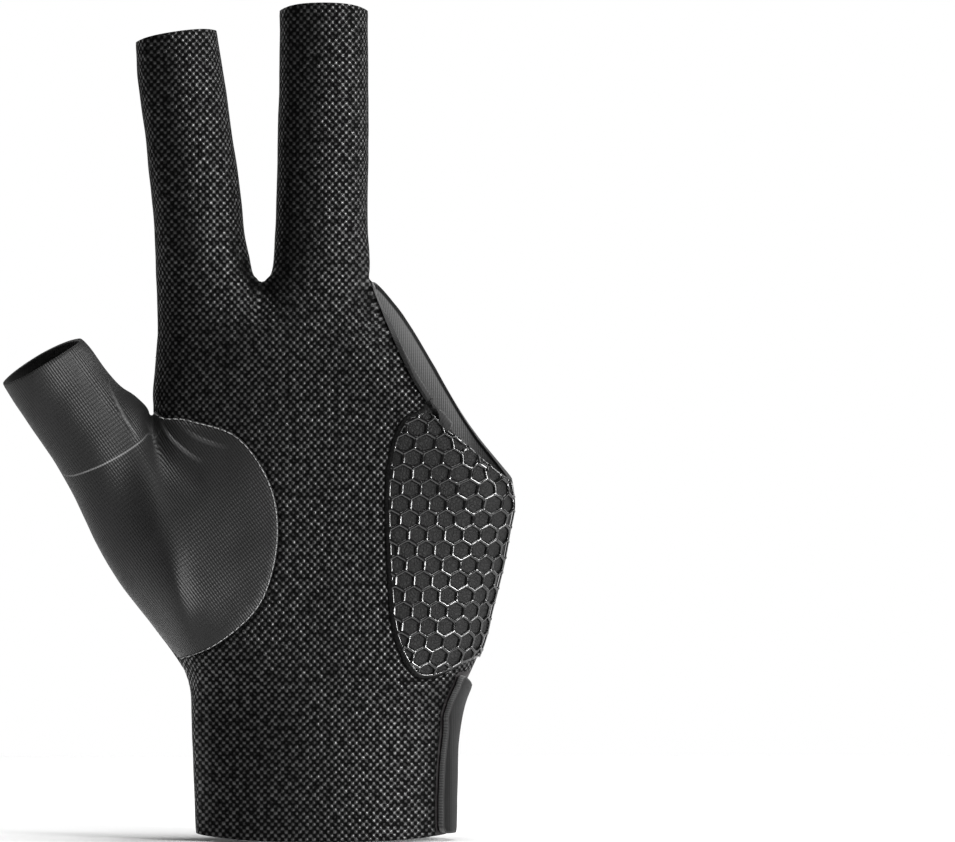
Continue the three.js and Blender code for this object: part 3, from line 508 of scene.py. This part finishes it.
def finishCloth(name, rows, faces, cloth, near):
    # Gives the sheet its weave map, its thickness and its materials: outside, inside, cut edge
    item = makeObject(name, rows[:, place], faces, mm)
    mesh = item.data
    corners = readOut(mesh.loops, "vertex_index", kind=int)
    mesh.uv_layers.new(name="weave").data.foreach_set("uv", weaveAt(rows)[corners].ravel())
    writeLayer(mesh, "nearEdge", near)
    for material in cloth["materials"]:
        mesh.materials.append(material)
    if "backIndex" in cloth:
        for polygon in mesh.polygons:
            if np.mean(rows[list(polygon.vertices), sideAt]) > 0:
                polygon.material_index = cloth["backIndex"]
    applyModifier(item, "SOLIDIFY", thickness=cloth["thickness"] * mm, offset=-1, use_rim=True,
                  material_offset=1, material_offset_rim=len(cloth["materials"]) - 1)
    applyModifier(item, "BEVEL", width=cloth["bevel"] * mm, segments=2, limit_method="ANGLE",
                  angle_limit=math.radians(55))
    return finishPiece(item, cloth["slot"], cloth["node"])


def colour(hexValue):
    parts = [int(hexValue[k:k + 2], 16) / 255 for k in (1, 3, 5)]
    return tuple(c / 12.92 if c < 0.04045 else ((c + 0.055) / 1.055) ** 2.4 for c in parts) + (1.0,)


def addNode(tree, kind, inputs=(), stops=(), **settings):
    # Inputs go by name or in order: a value, a socket, or a node whose first output is meant; stops are a ramp's
    node = tree.nodes.new("ShaderNode" + kind)
    for name, value in settings.items():
        setattr(node, name, value)
    for name, value in inputs.items() if isinstance(inputs, dict) else enumerate(inputs):
        if isinstance(value, bpy.types.Node):
            value = value.outputs[0]
        if isinstance(value, bpy.types.NodeSocket):
            tree.links.new(value, node.inputs[name])
        else:
            node.inputs[name].default_value = value
    for k, (at, hexValue) in enumerate(stops):
        node.color_ramp.elements[k].position = at
        node.color_ramp.elements[k].color = colour(hexValue)
    return node


def startMaterial(name, surface):
    material = bpy.data.materials.new(name)
    material.use_nodes = True
    tree = material.node_tree
    tree.nodes.clear()
    shader = addNode(tree, "BsdfPrincipled", surface)
    addNode(tree, "OutputMaterial", {"Surface": shader})
    return material, partial(addNode, tree), shader


def coverWith(shader, paint, height, depth, strength=1.0):
    # Gives the shader its colour and a relief, whose depth is in millimetres
    tree = shader.id_data
    relief = addNode(tree, "Bump", {"Strength": strength, "Distance": depth * mm, "Height": height})
    tree.links.new(paint, shader.inputs["Base Color"])
    tree.links.new(relief.outputs[0], shader.inputs["Normal"])


def evenRows(add, coordinate, pitch):
    # From -1 to 1 and back over each pitch
    turn = add("Math", (coordinate, 2 * math.pi / pitch), operation="MULTIPLY")
    return add("Math", (turn,), operation="COSINE")


# Pebbles at their real size in millimetres; their 0.1 mm threads are too fine to show, so they are a coarser grain
# peak is the tone of the painted highlight on the pebble tips, gap the tone of the painted shade between them
knitLook = {"pitchAcross": 1.7, "pitchUp": 1.8, "wander": 0.5, "threads": 0.45, "bump": 0.3,
            "peak": "#0d0d0d", "gap": "#050505", "roughness": (0.6, 0.3), "shine": (0.03, 1.0)}


def knitMaterial():
    # Polyester air-mesh knit: small raised pebbles, each catching the light, with black gaps between; the colour also
    # paints the tips lighter as a painted highlight and the gaps darker as painted shade
    material, add, shader = startMaterial("airMeshKnit", {})
    uv = add("UVMap", uv_map="weave")
    uneven = add("TexNoise", {"Vector": uv, "Scale": 0.35, "Detail": 3.0, "Roughness": 0.6})
    shift = add("VectorMath", {0: uneven.outputs["Color"], "Scale": knitLook["wander"]}, operation="SCALE")
    parts = add("SeparateXYZ", (add("VectorMath", (uv, shift), operation="ADD"),))
    waves = [evenRows(add, parts.outputs[k], knitLook[pitch]) for k, pitch in ((0, "pitchAcross"), (1, "pitchUp"))]
    crossed = add("Math", waves, operation="MULTIPLY")
    pebble = add("Math", (crossed, 0.5, 0.5), operation="MULTIPLY_ADD")
    threads = add("TexNoise", {"Vector": uv, "Scale": 2.6, "Detail": 2.0})
    rounded = add("Math", (pebble, 0.8), operation="POWER")
    height = add("Math", (threads, knitLook["threads"], rounded), operation="MULTIPLY_ADD")
    patches = add("TexNoise", {"Vector": uv, "Scale": 0.6, "Detail": 2.0})
    share = add("MapRange", (patches, 0.33, 0.67, 0.45, 1.35))
    tip = add("Math", (pebble, 1.5), operation="POWER")
    lit = add("Math", (tip, share), operation="MULTIPLY")
    # Painted light and shade: the pebble tips take the lighter tone as a painted highlight and the gaps the darker one
    # as painted shade; noise patches make this painted highlight stronger in some places than in others
    paint = add("ValToRGB", (lit,), [(0.08, knitLook["gap"]), (0.75, knitLook["peak"])])
    coverWith(shader, paint.outputs[0], height, knitLook["bump"])
    for socket, ends in (("Roughness", knitLook["roughness"]), ("Specular IOR Level", knitLook["shine"])):
        spread = add("MapRange", (lit, 0.25, 0.9, *ends))
        shader.id_data.links.new(spread.outputs[0], shader.inputs[socket])
    return material


def thinArcs(add, uv, arcs, width):
    # Circle lines, each whole or fading out round a middle: centre, radius, share, then middle and half length
    total = None
    for x, y, radius, share, *middle in arcs:
        away = add("VectorMath", (uv, (x, y, 0)), operation="DISTANCE").outputs["Value"]
        gap = add("Math", (away, radius), operation="SUBTRACT")
        gap = add("Math", (gap,), operation="ABSOLUTE")
        line = add("MapRange", (gap, width * 0.4, width, share, 0.0))
        if middle:
            x, y, reach = middle
            away = add("VectorMath", (uv, (x, y, 0)), operation="DISTANCE").outputs["Value"]
            fade = add("MapRange", (away, reach * 0.3, reach, 1.0, 0.0))
            line = add("Math", (line, fade), operation="MULTIPLY")
        total = line if total is None else add("Math", (total, line), operation="MAXIMUM")
    return total


# Millimetres. Real threads lie 0.2 mm apart, too fine to show, so the pitch is drawn two to three times as coarse
plainLook = {"pitch": 0.5, "angle": 0, "bump": 0.05, "roughness": 0.5, "shine": 0.2, "sheen": 0.06}
backLook = {"base": "#131112", "light": "#292526", "pitch": 0.42, "line": "#4a4647", "lineWidth": 0.24,
            "arcs": [(-150, 60, 138, 0.6), (120, 190, 128, 0.5), (30, -95, 128, 0.5), (-60, 240, 150, 0.35)]}
# The thumb's folds are raised ridges in the relief, and each is also painted pale in the line tone as a painted
# highlight
thumbLook = {"base": "#101010", "light": "#1a1a1a", "pitch": 0.62, "angle": -36, "bump": 0.09, "roughness": 0.43,
             "shine": 0.3, "sheen": 0.02, "line": "#7a7a7a", "lineWidth": 0.26,
             "arcs": [(-72.5, 133.9, 46.8, 0.8, -53.0, 91.5, 17.0)], "field": (-51.0, 79.5, 12.0, 0.35),
             "foldWidth": 0.7, "folds": [(-21.1, 117.6, 30.0, 1.0, -48.2, 104.7, 8.5),
                                         (-14.8, 118.8, 30.0, 1.0, -35.1, 96.7, 8.5),
                                         (-18.5, 120.5, 25.0, 0.5, -28.4, 97.6, 7.0)]}
liningLook = {"base": "#5a5a5a", "light": "#747474", "sheen": 0.2, "roughness": 0.6, "hem": (1.0, "#0c0c0c", 1.0)}
darkLiningLook = {"base": "#1c1c1c", "light": "#2c2c2c", "sheen": 0.2, "roughness": 0.7}
# The strap's line tone is a painted sheen on its rounded fold, from the band's start onwards
strapLook = {"base": "#080808", "light": "#0e0e0e", "pitch": 0.45, "sheen": 0.02, "shine": 0.1, "roughness": 0.55,
             "line": "#1c1c1c", "band": 31.9, "hem": (0.5, "#303030", 0.8)}


def stretchMaterial(name, look):
    # Lycra knitted fine and pulled tight: smooth, silky sheen, faint darker and lighter printed fields
    look = {**plainLook, **look}
    material, add, shader = startMaterial(name, {
        "Roughness": look["roughness"], "Specular IOR Level": look["shine"], "Sheen Weight": look["sheen"],
        "Sheen Roughness": 0.35})
    uv = add("UVMap", uv_map="weave")
    turned = add("Mapping", {"Vector": uv, "Rotation": (0, 0, math.radians(look["angle"]))})
    parts = add("SeparateXYZ", (turned,))
    grain = add("TexNoise", {"Vector": uv, "Scale": 1.8, "Detail": 3.0, "Roughness": 0.6})
    height = add("Math", (grain, 0.3), operation="MULTIPLY")
    for k, pitch, share in ((0, look["pitch"], 0.4), (1, look["pitch"] * 1.6, 0.1)):
        threads = evenRows(add, parts.outputs[k], pitch)
        height = add("Math", (threads, share, height), operation="MULTIPLY_ADD")
    fields = add("TexVoronoi", {"Vector": uv, "Scale": 0.021, "Randomness": 0.9}, distance="MANHATTAN")
    tone = add("SeparateColor", (fields.outputs["Color"],))
    soft = add("TexNoise", {"Vector": uv, "Scale": 0.03, "Detail": 1.0})
    soft = add("Math", (soft, 0.5), operation="MULTIPLY")
    mixed = add("Math", (tone, 0.55, soft), operation="MULTIPLY_ADD")
    paint = add("ValToRGB", (mixed,), [(0.25, look["base"]), (0.95, look["light"])])
    # Painted light and shade: the colour follows the thread relief, the raised threads lighter and the grooves between
    # them darker
    reliefShade = add("Math", (height, 0.9, 0.5), operation="MULTIPLY_ADD")
    layers = [(0.35, add("ValToRGB", (reliefShade,), [(0.0, "#0d0d0d"), (1.0, look["light"])]))]
    if "field" in look:
        x, y, radius, share = look["field"]
        away = add("VectorMath", (uv, (x, y, 0)), operation="DISTANCE").outputs["Value"]
        layers.append((add("MapRange", (away, radius - 0.4, radius, share, 0.0)), colour("#080808")))
    # Painted sheen: from the band's start on, the strap's rounded fold is painted lighter, in the line tone
    if "band" in look:
        across = add("SeparateXYZ", (uv,))
        layers.append((add("MapRange", (across, look["band"], look["band"] + 0.4, 0.0, 1.0)),
                       colour(look["line"])))
    raised = height
    if "arcs" in look:
        lines = thinArcs(add, uv, look["arcs"], look["lineWidth"])
        if "folds" in look:
            ridges = thinArcs(add, uv, look["folds"], look["foldWidth"])
            raised = add("Math", (ridges, 3.0, height), operation="MULTIPLY_ADD")
            # Painted highlight: the fold ridges also take the line tone, pale along their crests
            pale = add("Math", (ridges, 0.22), operation="MULTIPLY")
            lines = add("Math", (lines, pale), operation="MAXIMUM")
        layers.append((lines, colour(look["line"])))
    if "hem" in look:  # a narrow band of another tone along every edge: width, tone, share
        width, tone, share = look["hem"]
        near = add("Attribute", attribute_name="nearEdge").outputs["Fac"]
        layers.append((add("MapRange", (near, width * 0.7, width, share, 0.0)), colour(tone)))
    for share, tone in layers:
        paint = add("Mix", {"Factor": share, "A": paint, "B": tone}, data_type="RGBA").outputs["Result"]
    coverWith(shader, paint, raised, look["bump"])
    return material


padLook = {"cell": "#1e1e1e", "pore": "#020202", "grain": 0.8, "bump": 0.3}


def padMaterial():
    # Synthetic leather: fine pebbled grain in a soft dark grey, drawn coarser than its real 0.4 mm so that it shows
    material, add, shader = startMaterial("gripLeather", {"Roughness": 0.55, "Specular IOR Level": 0.2})
    uv = add("UVMap", uv_map="weave")
    grain = add("TexVoronoi", {"Vector": uv, "Scale": 1 / padLook["grain"]}, feature="DISTANCE_TO_EDGE")
    flat = add("Math", (grain.outputs["Distance"], 0.25), operation="MINIMUM")
    uneven = add("TexNoise", {"Vector": uv, "Scale": 2.2, "Detail": 4.0, "Roughness": 0.7})
    height = add("Math", (uneven, 0.6, flat), operation="MULTIPLY_ADD")
    # Painted shade: the colour follows the relief, the low pores and hollows near black and the grain tops grey
    paint = add("ValToRGB", (height,), [(0.25, padLook["pore"]), (0.55, padLook["cell"])])
    coverWith(shader, paint.outputs[0], height, padLook["bump"])
    return material


def siliconeMaterial():
    # Printed silicone: smooth, near black and glossy, slightly uneven from printing
    material, add, shader = startMaterial("printedSilicone", {"Roughness": 0.14, "IOR": 1.43,
                                                               "Specular IOR Level": 1.0})
    at = add("TexCoord").outputs["Object"]
    uneven = add("TexNoise", {"Vector": at, "Scale": 700.0, "Detail": 1.0})
    # Painted shade, very slight: the colour follows the unevenness of the relief, the low places darker
    paint = add("ValToRGB", (uneven,), [(0.3, "#030303"), (0.7, "#060606")])
    coverWith(shader, paint.outputs[0], uneven, 0.04)
    return material


def threadMaterial(name, dark, light, roughness=0.45):
    # Polyester sewing thread: two plies twisted, with a soft shine
    material, add, shader = startMaterial(name, {"Roughness": roughness, "Sheen Weight": 0.3,
                                                  "Sheen Roughness": 0.4})
    at = add("TexCoord").outputs["Object"]
    twist = add("TexWave", {"Vector": at, "Scale": 900.0, "Distortion": 2.0, "Detail": 1.0},
                    bands_direction="DIAGONAL").outputs["Fac"]
    # Painted light and shade: the colour follows the twist relief, the plies' tops lighter and the grooves between them
    # darker
    paint = add("ValToRGB", (twist,), [(0.2, dark), (0.8, light)])
    coverWith(shader, paint.outputs[0], twist, 0.06, 0.7)
    return material


knit = knitMaterial()
backLycra = stretchMaterial("backLycra", backLook)
thumbLycra = stretchMaterial("thumbTwillLycra", thumbLook)
greyLining = stretchMaterial("greyLining", liningLook)
darkLining = stretchMaterial("darkLining", darkLiningLook)
strapCloth = stretchMaterial("strapLaminate", strapLook)
padLeather = padMaterial()
silicone = siliconeMaterial()
blackThread = threadMaterial("blackThread", "#0e0e0e", "#2c2c2c")
greyThread = threadMaterial("greyThread", "#5a5a5a", "#a8a8a8")
# The cut edges are spun fibre too: dull black bound cloth, and the strap's dull grey foam
edgeCloth = threadMaterial("boundEdge", "#0a0a0a", "#191919", 0.6)
foamEdge = threadMaterial("foamEdge", "#4c4c4c", "#6e6e6e", 0.7)
print("materials made")

# Ridges (height above 0) and furrows as polylines seen from the palm, in millimetres: side, line, height, width
folds = [
    (-1, [(-42, 97), (-36, 92), (-31, 88)], -0.5, 2.6),
    (-1, [(-38, 103), (-31, 99)], 0.4, 2.0),
    (1, [(-50, 104), (-45, 96), (-43, 88)], -0.6, 2.6),
]
ripples = [(17, 0.3), (6, 0.12)]  # length and height of the cloth's slight unevenness


def addFolds(rows):
    lift = np.zeros(len(rows))
    for side, line, height, width in folds:
        nearest = np.min([offSegment(a, b, rows[:, 0], rows[:, 2]) for a, b in zip(line, line[1:])], axis=0)
        lift += np.where(rows[:, sideAt] * side > 0.2, height * np.exp(-(nearest / width) ** 2), 0)
    for n, point in enumerate(rows[:, place]):
        lift[n] += sum(height * noise.noise(Vector(point) / length) for length, height in ripples)
    rows[:, place] += rows[:, normalAt] * lift[:, None]
    rows[:, normalAt] = faceNormals(rows[:, place], skinFaces)
    return rows


skin, skinFaces = makeSkin()
skin = addFolds(skin)
skin = np.column_stack([skin, distanceToRim(skin, skinFaces)])
print("hand form made:", len(skin), "corners")

roll = {"width": 1.1, "drop": 0.45, "openDrop": 0.12}
panels = {
    "palmKnit": {"field": "palm", "node": "palm_panel", "slot": "knit", "thickness": 1.1, "bevel": 0.22,
                 "materials": [knit, darkLining, edgeCloth]},
    "backCloth": {"field": "back", "node": "back_panel", "slot": "lycra", "thickness": 0.9, "bevel": 0.2,
                  "materials": [backLycra, greyLining, edgeCloth]},
    "thumbCloth": {"field": "thumb", "node": "thumb_panel", "slot": "thumb_lycra", "thickness": 0.9, "bevel": 0.2,
                   "materials": [thumbLycra, darkLining, backLycra, darkLining, thumbLycra], "backIndex": 2},
    "gripPad": {"field": "pad", "node": "grip_pad", "slot": "pad_cloth", "thickness": 1.4, "bevel": 0.25,
                "roll": {"width": 1.5, "drop": 0.9, "openDrop": 0.12}, "crown": 0.35, "crownReach": 6.0,
                "materials": [padLeather, darkLining, padLeather]},
    "cuffBand": {"field": "wristband", "node": "wristband", "slot": "lycra", "thickness": 1.1, "bevel": 0.2,
                 "materials": [backLycra, darkLining, edgeCloth]},
}
made = {}
for name, panel in panels.items():
    rows, faces = cutAlong(skin, skinFaces, panelField(panel["field"], skin))
    rows, faces, near = rollEdges(rows, faces, panel.get("roll", roll))
    if "crown" in panel:
        swell = panel["crown"] * np.clip(near / panel["crownReach"], 0, 1) ** 0.5
        rows[:, place] += rows[:, normalAt] * swell[:, None]
    made[name] = finishCloth(name, rows, faces, panel, near)
    print(name, "made:", len(made[name].data.polygons), "faces")

# The strap lies on top of the wristband, with a pressed groove across its fold
strap = {"field": "strap", "node": "strap", "slot": "strap_fabric", "lift": 0.5, "thickness": 1.5, "bevel": 0.45,
         "grooveDepth": 0.5, "groove": (28.6, 29.6, 31.2, 32.0), "roll": {"width": 1.4, "drop": 0.2, "openDrop": 0.2},
         "materials": [strapCloth, darkLining, foamEdge]}
rows, faces = cutAlong(skin, skinFaces, panelField(strap["field"], skin))
for at in strap["groove"]:
    rows, faces = cutAlong(rows, faces, np.where(rows[:, sideAt] > 0, rows[:, 0] - at, 5.0), True)
rows, faces, near = rollEdges(rows, faces, strap["roll"])
sunk = np.where(rows[:, sideAt] > 0, np.interp(rows[:, 0], strap["groove"], (0, 1, 1, 0)), 0)
rows[:, place] += rows[:, normalAt] * (strap["lift"] + strap["thickness"] - strap["grooveDepth"] * sunk)[:, None]
made["wristStrap"] = finishCloth("wristStrap", rows, faces, strap, near)
print("strap made")

# The silicone net printed on the grip pad
net = {"pitch": 4.3, "halfRib": 0.42, "height": 0.24, "thickness": 0.35, "margin": 0.9, "step": 0.2, "low": 37.0,
       "high": 104.0, "wide": 36.0, "base": 0.62, "border": 0.24}


chart = {"left": -20.0, "top": 118.0, "close": 0.05}


def flatChart(sign):
    # The skin next to the little-finger edge laid flat, on the palm (-1) or the back (1): way round against height
    side, reach = skin[:, sideAt] * sign, skin[:, reachAt] * sign
    near = (side >= -0.001) & (reach >= -0.001) & (skin[:, 0] > chart["left"]) & (skin[:, 2] < chart["top"])
    kept = [face for face in skinFaces if near[face].all() and (reach[face] > 0.001).sum() > 1]
    triangles = [face[:3] for face in kept] + [[face[0], face[2], face[3]] for face in kept]
    flat = [Vector((out, up, 0)) for out, up in zip(reach, skin[:, 2])]
    tree = BVHTree.FromPolygons(flat, triangles)

    def over(u, v):
        hit, _, number, _ = tree.find_nearest(Vector((u, v, 0)), chart["close"])
        if hit is None:
            return None
        a, b, c = (flat[k] for k in triangles[number])
        whole = (b - a).cross(c - a).z
        s, t = (b - hit).cross(c - hit).z / whole, (c - hit).cross(a - hit).z / whole
        return sum(skin[k] * w for k, w in zip(triangles[number], (s, t, 1 - s - t)))

    return over


def netRows():
    over = flatChart(-1)
    index, rows = {}, []
    for j in range(int((net["high"] - net["low"]) / net["step"]) + 1):
        for i in range(int(net["wide"] / net["step"]) + 1):
            u, v = i * net["step"], net["low"] + j * net["step"]
            found = over(u, v)
            if found is not None and found[0] >= 0:
                index[i, j] = len(rows)
                rows.append([*found, u, v])
    faces = []
    for i, j in index:
        corners = [(i, j), (i, j + 1), (i + 1, j + 1), (i + 1, j)]
        if all(corner in index for corner in corners):
            faces.append([index[corner] for corner in corners])
    return np.array(rows), faces


def hexagonEdge(spots):
    # Distance from each spot to the nearest side of a net of upright hexagons
    pitch = net["pitch"]
    step = np.array((pitch, pitch * math.sqrt(3)))
    a, b = ((spots + shift) % step - step / 2 for shift in (step / 2, 0 * step))
    best = np.where((np.hypot(*b.T) < np.hypot(*a.T))[:, None], b, a)
    sides = [np.abs(best @ np.array((math.cos(turn), math.sin(turn)))) for turn in (0, math.pi / 3, -math.pi / 3)]
    return pitch / 2 - np.max(sides, axis=0)


rows, faces = netRows()
spots = rows[:, -2:]
borderAt = least(panelField("pad", rows), rows[:, rimAt] + 0.2, spots[:, 0] + 0.6) - net["margin"]
toRib = np.minimum(hexagonEdge(spots), np.abs(borderAt - net["border"]) + net["halfRib"] - net["border"])
ribField = np.minimum(net["halfRib"] - toRib, borderAt)
rows, faces = cutAlong(np.column_stack([rows, toRib]), faces, ribField)
rise = net["height"] * (1 - np.clip(rows[:, -1] / net["halfRib"], 0, 1) ** 1.5)
rows[:, place] += rows[:, normalAt] * (rise + net["base"])[:, None]
netItem = makeObject("gripNet", rows[:, place], faces, mm)
netItem.data.materials.append(silicone)
applyModifier(netItem, "SOLIDIFY", thickness=net["thickness"] * mm, offset=-1)
made["gripNet"] = finishPiece(netItem, "silicone", "grip_net")
print("net made:", len(netItem.data.polygons), "faces")

# Stitches: each row is laid over a surface that gives a place and its normal
skinTree = BVHTree.FromPolygons([Vector(row[place]) for row in skin], skinFaces)
overBack = flatChart(1)


def onSkin(side):
    def over(x, z, lift):
        hit, normal, _, _ = skinTree.ray_cast(Vector((x, side * 80, z)), Vector((0, -side, 0)))
        return None if hit is None else (hit + normal * lift, normal)

    return over


def onTab(u, v, lift):
    found = overBack(u, v)
    if found is None:
        return None
    return Vector(found[place] + found[normalAt] * (strap["lift"] + strap["thickness"] + lift)), Vector(found[normalAt])


def alongLine(line, step):
    # Evenly spaced places and directions on a polyline
    places, spare = [], 0.0
    for a, b in zip(line, line[1:]):
        a, b = np.array(a, dtype=float), np.array(b, dtype=float)
        length = np.linalg.norm(b - a)
        way = (b - a) / max(length, 1e-9)
        while spare < length:
            places.append((a + way * spare, way))
            spare += step
        spare -= length
    return places


def addTube(points, faces, path, radius, sides=6):
    # A thread through the given places, its ends closed
    first = len(points)
    for n, (here, up) in enumerate(path):
        ahead = (path[min(n + 1, len(path) - 1)][0] - path[max(n - 1, 0)][0]).normalized()
        across = ahead.cross(up).normalized()
        over = across.cross(ahead)
        for k in range(sides):
            turn = 2 * math.pi * k / sides
            points.append(tuple(here + (across * math.cos(turn) + over * math.sin(turn)) * radius))
    for n in range(len(path) - 1):
        for k in range(sides):
            a, b = first + n * sides + k, first + n * sides + (k + 1) % sides
            faces.append([a, a + sides, b + sides, b])
    faces.append([*range(first, first + sides)])
    faces.append([*range(len(points) - sides, len(points))][::-1])


def dashRow(points, faces, line, over, step, length, radius, lift):
    for middle, way in alongLine(line, step):
        path = [over(*(middle + way * share * length), lift + height)
                for share, height in ((-0.5, -0.35), (-0.3, 0.0), (0.3, 0.0), (0.5, -0.35))]
        if all(path):
            addTube(points, faces, path, radius)


def zigzagRow(points, faces, line, over, step, width, radius, lift):
    run = []
    for n, (middle, way) in enumerate(alongLine(line, step)):
        out = np.array((-way[1], way[0])) * width / 2 * (1 if n % 2 else -1)
        found = over(*(middle + out), lift)
        if found:
            run.append(found)
        elif len(run) > 2:
            addTube(points, faces, run, radius, 5)
            run = []
    if len(run) > 2:
        addTube(points, faces, run, radius, 5)


def besideLine(line, out):
    ways = np.gradient(np.array(line), axis=0)
    ways /= np.linalg.norm(ways, axis=1)[:, None]
    return line + np.column_stack([-ways[:, 1], ways[:, 0]]) * out


patchLine = besideLine([p for p in smoothLine(patchSeam) if p[0] > -43], -0.4)
backLine = [p for p in smoothLine(backSeam) if -0.02 < (p[1] - 36) / 100 < 0.9]
thumbLine = [(-60.4, 119.6), (-55.0, 113.2), (-50.0, 107.6), (-45.5, 103.6), (-43.0, 101.6)]
hemLines = [[(x, up * hand["cuffHeight"]) for x in np.linspace(-32, 31, 30)] for up in (0.992, 0.912)]
tabInset = 2.2
radius = seams["tabHeight"] / 2 - tabInset
middle = np.array((seams["strapReach"] - seams["tabHeight"] / 2, seams["tabLift"] + seams["tabHeight"] / 2))
tabLine = [middle + (-12.0, -radius), middle + (0, -radius)]
tabLine += [middle + radius * np.array((math.sin(turn), -math.cos(turn))) for turn in np.linspace(0.1, math.pi, 24)]
tabLine.append(middle + (-9.0, radius))

# Thread, slot, and rows: kind, line, surface, step, length or width, thread radius, lift
stitching = {
    "patchStitches": (greyThread, "thumb_lycra", [(dashRow, patchLine, onSkin(-1), 1.75, 1.35, 0.11, 0.1)]),
    "backSeamStitches": (blackThread, "lycra", [(zigzagRow, backLine, onSkin(1), 0.75, 1.7, 0.17, 0.12)] + [
        (zigzagRow, line, onSkin(1), 0.75, 1.3, 0.17, 0.12) for line in hemLines]),
    "paleSeamStitches": (greyThread, "lycra", [(dashRow, backLine, onSkin(1), 2.3, 1.4, 0.12, 0.16),
                                               (dashRow, thumbLine, onSkin(1), 2.0, 1.3, 0.11, 0.1)]),
    "tabStitches": (blackThread, "strap_fabric", [(dashRow, tabLine, onTab, 2.4, 1.7, 0.13, 0.05)]),
}
for name, (thread, slotName, stitchRows) in stitching.items():
    points, faces = [], []
    for addRow, line, over, *sizes in stitchRows:
        addRow(points, faces, line, over, *sizes)
    item = makeObject(name, points, faces, mm)
    item.data.materials.append(thread)
    made[name] = finishPiece(item, slotName)
print("stitches made")

studio = {"floor": "#ffffff", "size": 1.1, "lit": 0.14, "seen": 1.0}
bpy.ops.object.select_all(action="DESELECT")
bpy.ops.mesh.primitive_plane_add(size=studio["size"], location=(0, 0, -0.0004))
floor = bpy.context.object
floor.name = "studioFloor"
# Matt white backdrop paper: no gloss, so only the soft shadow shows
floorPaint = startMaterial("matPaper", {"Roughness": 0.9, "Base Color": colour(studio["floor"])})[0]
floor.data.materials.append(floorPaint)

view = {"pixel": 0.245, "middleX": 38.6, "middleZ": 102.2, "away": 2200.0, "sensor": 36.0, "width": 955}
camera = bpy.data.objects.new("camera", bpy.data.cameras.new("camera"))
scene.collection.objects.link(camera)
camera.location = (view["middleX"] * mm, -view["away"] * mm, view["middleZ"] * mm)
camera.rotation_euler = (math.pi / 2, 0, 0)
camera.data.sensor_width = view["sensor"]
camera.data.lens = view["sensor"] * view["away"] / (view["pixel"] * view["width"])
camera.data.clip_end = 50
scene.camera = camera

lights = {  # place, size, power
    "keyRight": ((0.98, -0.9, 0.38), 0.26, 18.0),
    "sideRight": ((1.2, -0.3, 0.25), 0.3, 8.0),
    "fillLeft": ((-1.1, -0.7, 0.5), 0.5, 0.2),
    "top": ((0.1, -0.1, 1.5), 0.8, 19.0),
    "rimLeft": ((-0.8, 0.8, 0.5), 0.6, 1.2),
    "rimRight": ((0.9, 0.8, 0.5), 0.6, 3.0),
}
for name, (where, size, power) in lights.items():
    lamp = bpy.data.objects.new(name, bpy.data.lights.new(name, "AREA"))
    scene.collection.objects.link(lamp)
    lamp.data.size = size
    lamp.data.energy = power
    lamp.location = where
    lamp.rotation_euler = (Vector((0, 0, 0.1)) - Vector(where)).to_track_quat("-Z", "Y").to_euler()

world = bpy.data.worlds.new("studio")
world.use_nodes = True
scene.world = world
tree = world.node_tree
tree.nodes.clear()
seen, lit = (addNode(tree, "Background", {"Color": (1, 1, 1, 1), "Strength": studio[part]}) for part in ("seen", "lit"))
rays = addNode(tree, "LightPath").outputs["Is Camera Ray"]
addNode(tree, "OutputWorld", {"Surface": addNode(tree, "MixShader", (rays, lit, seen))})
scene.view_settings.view_transform = "Standard"
print("studio made")
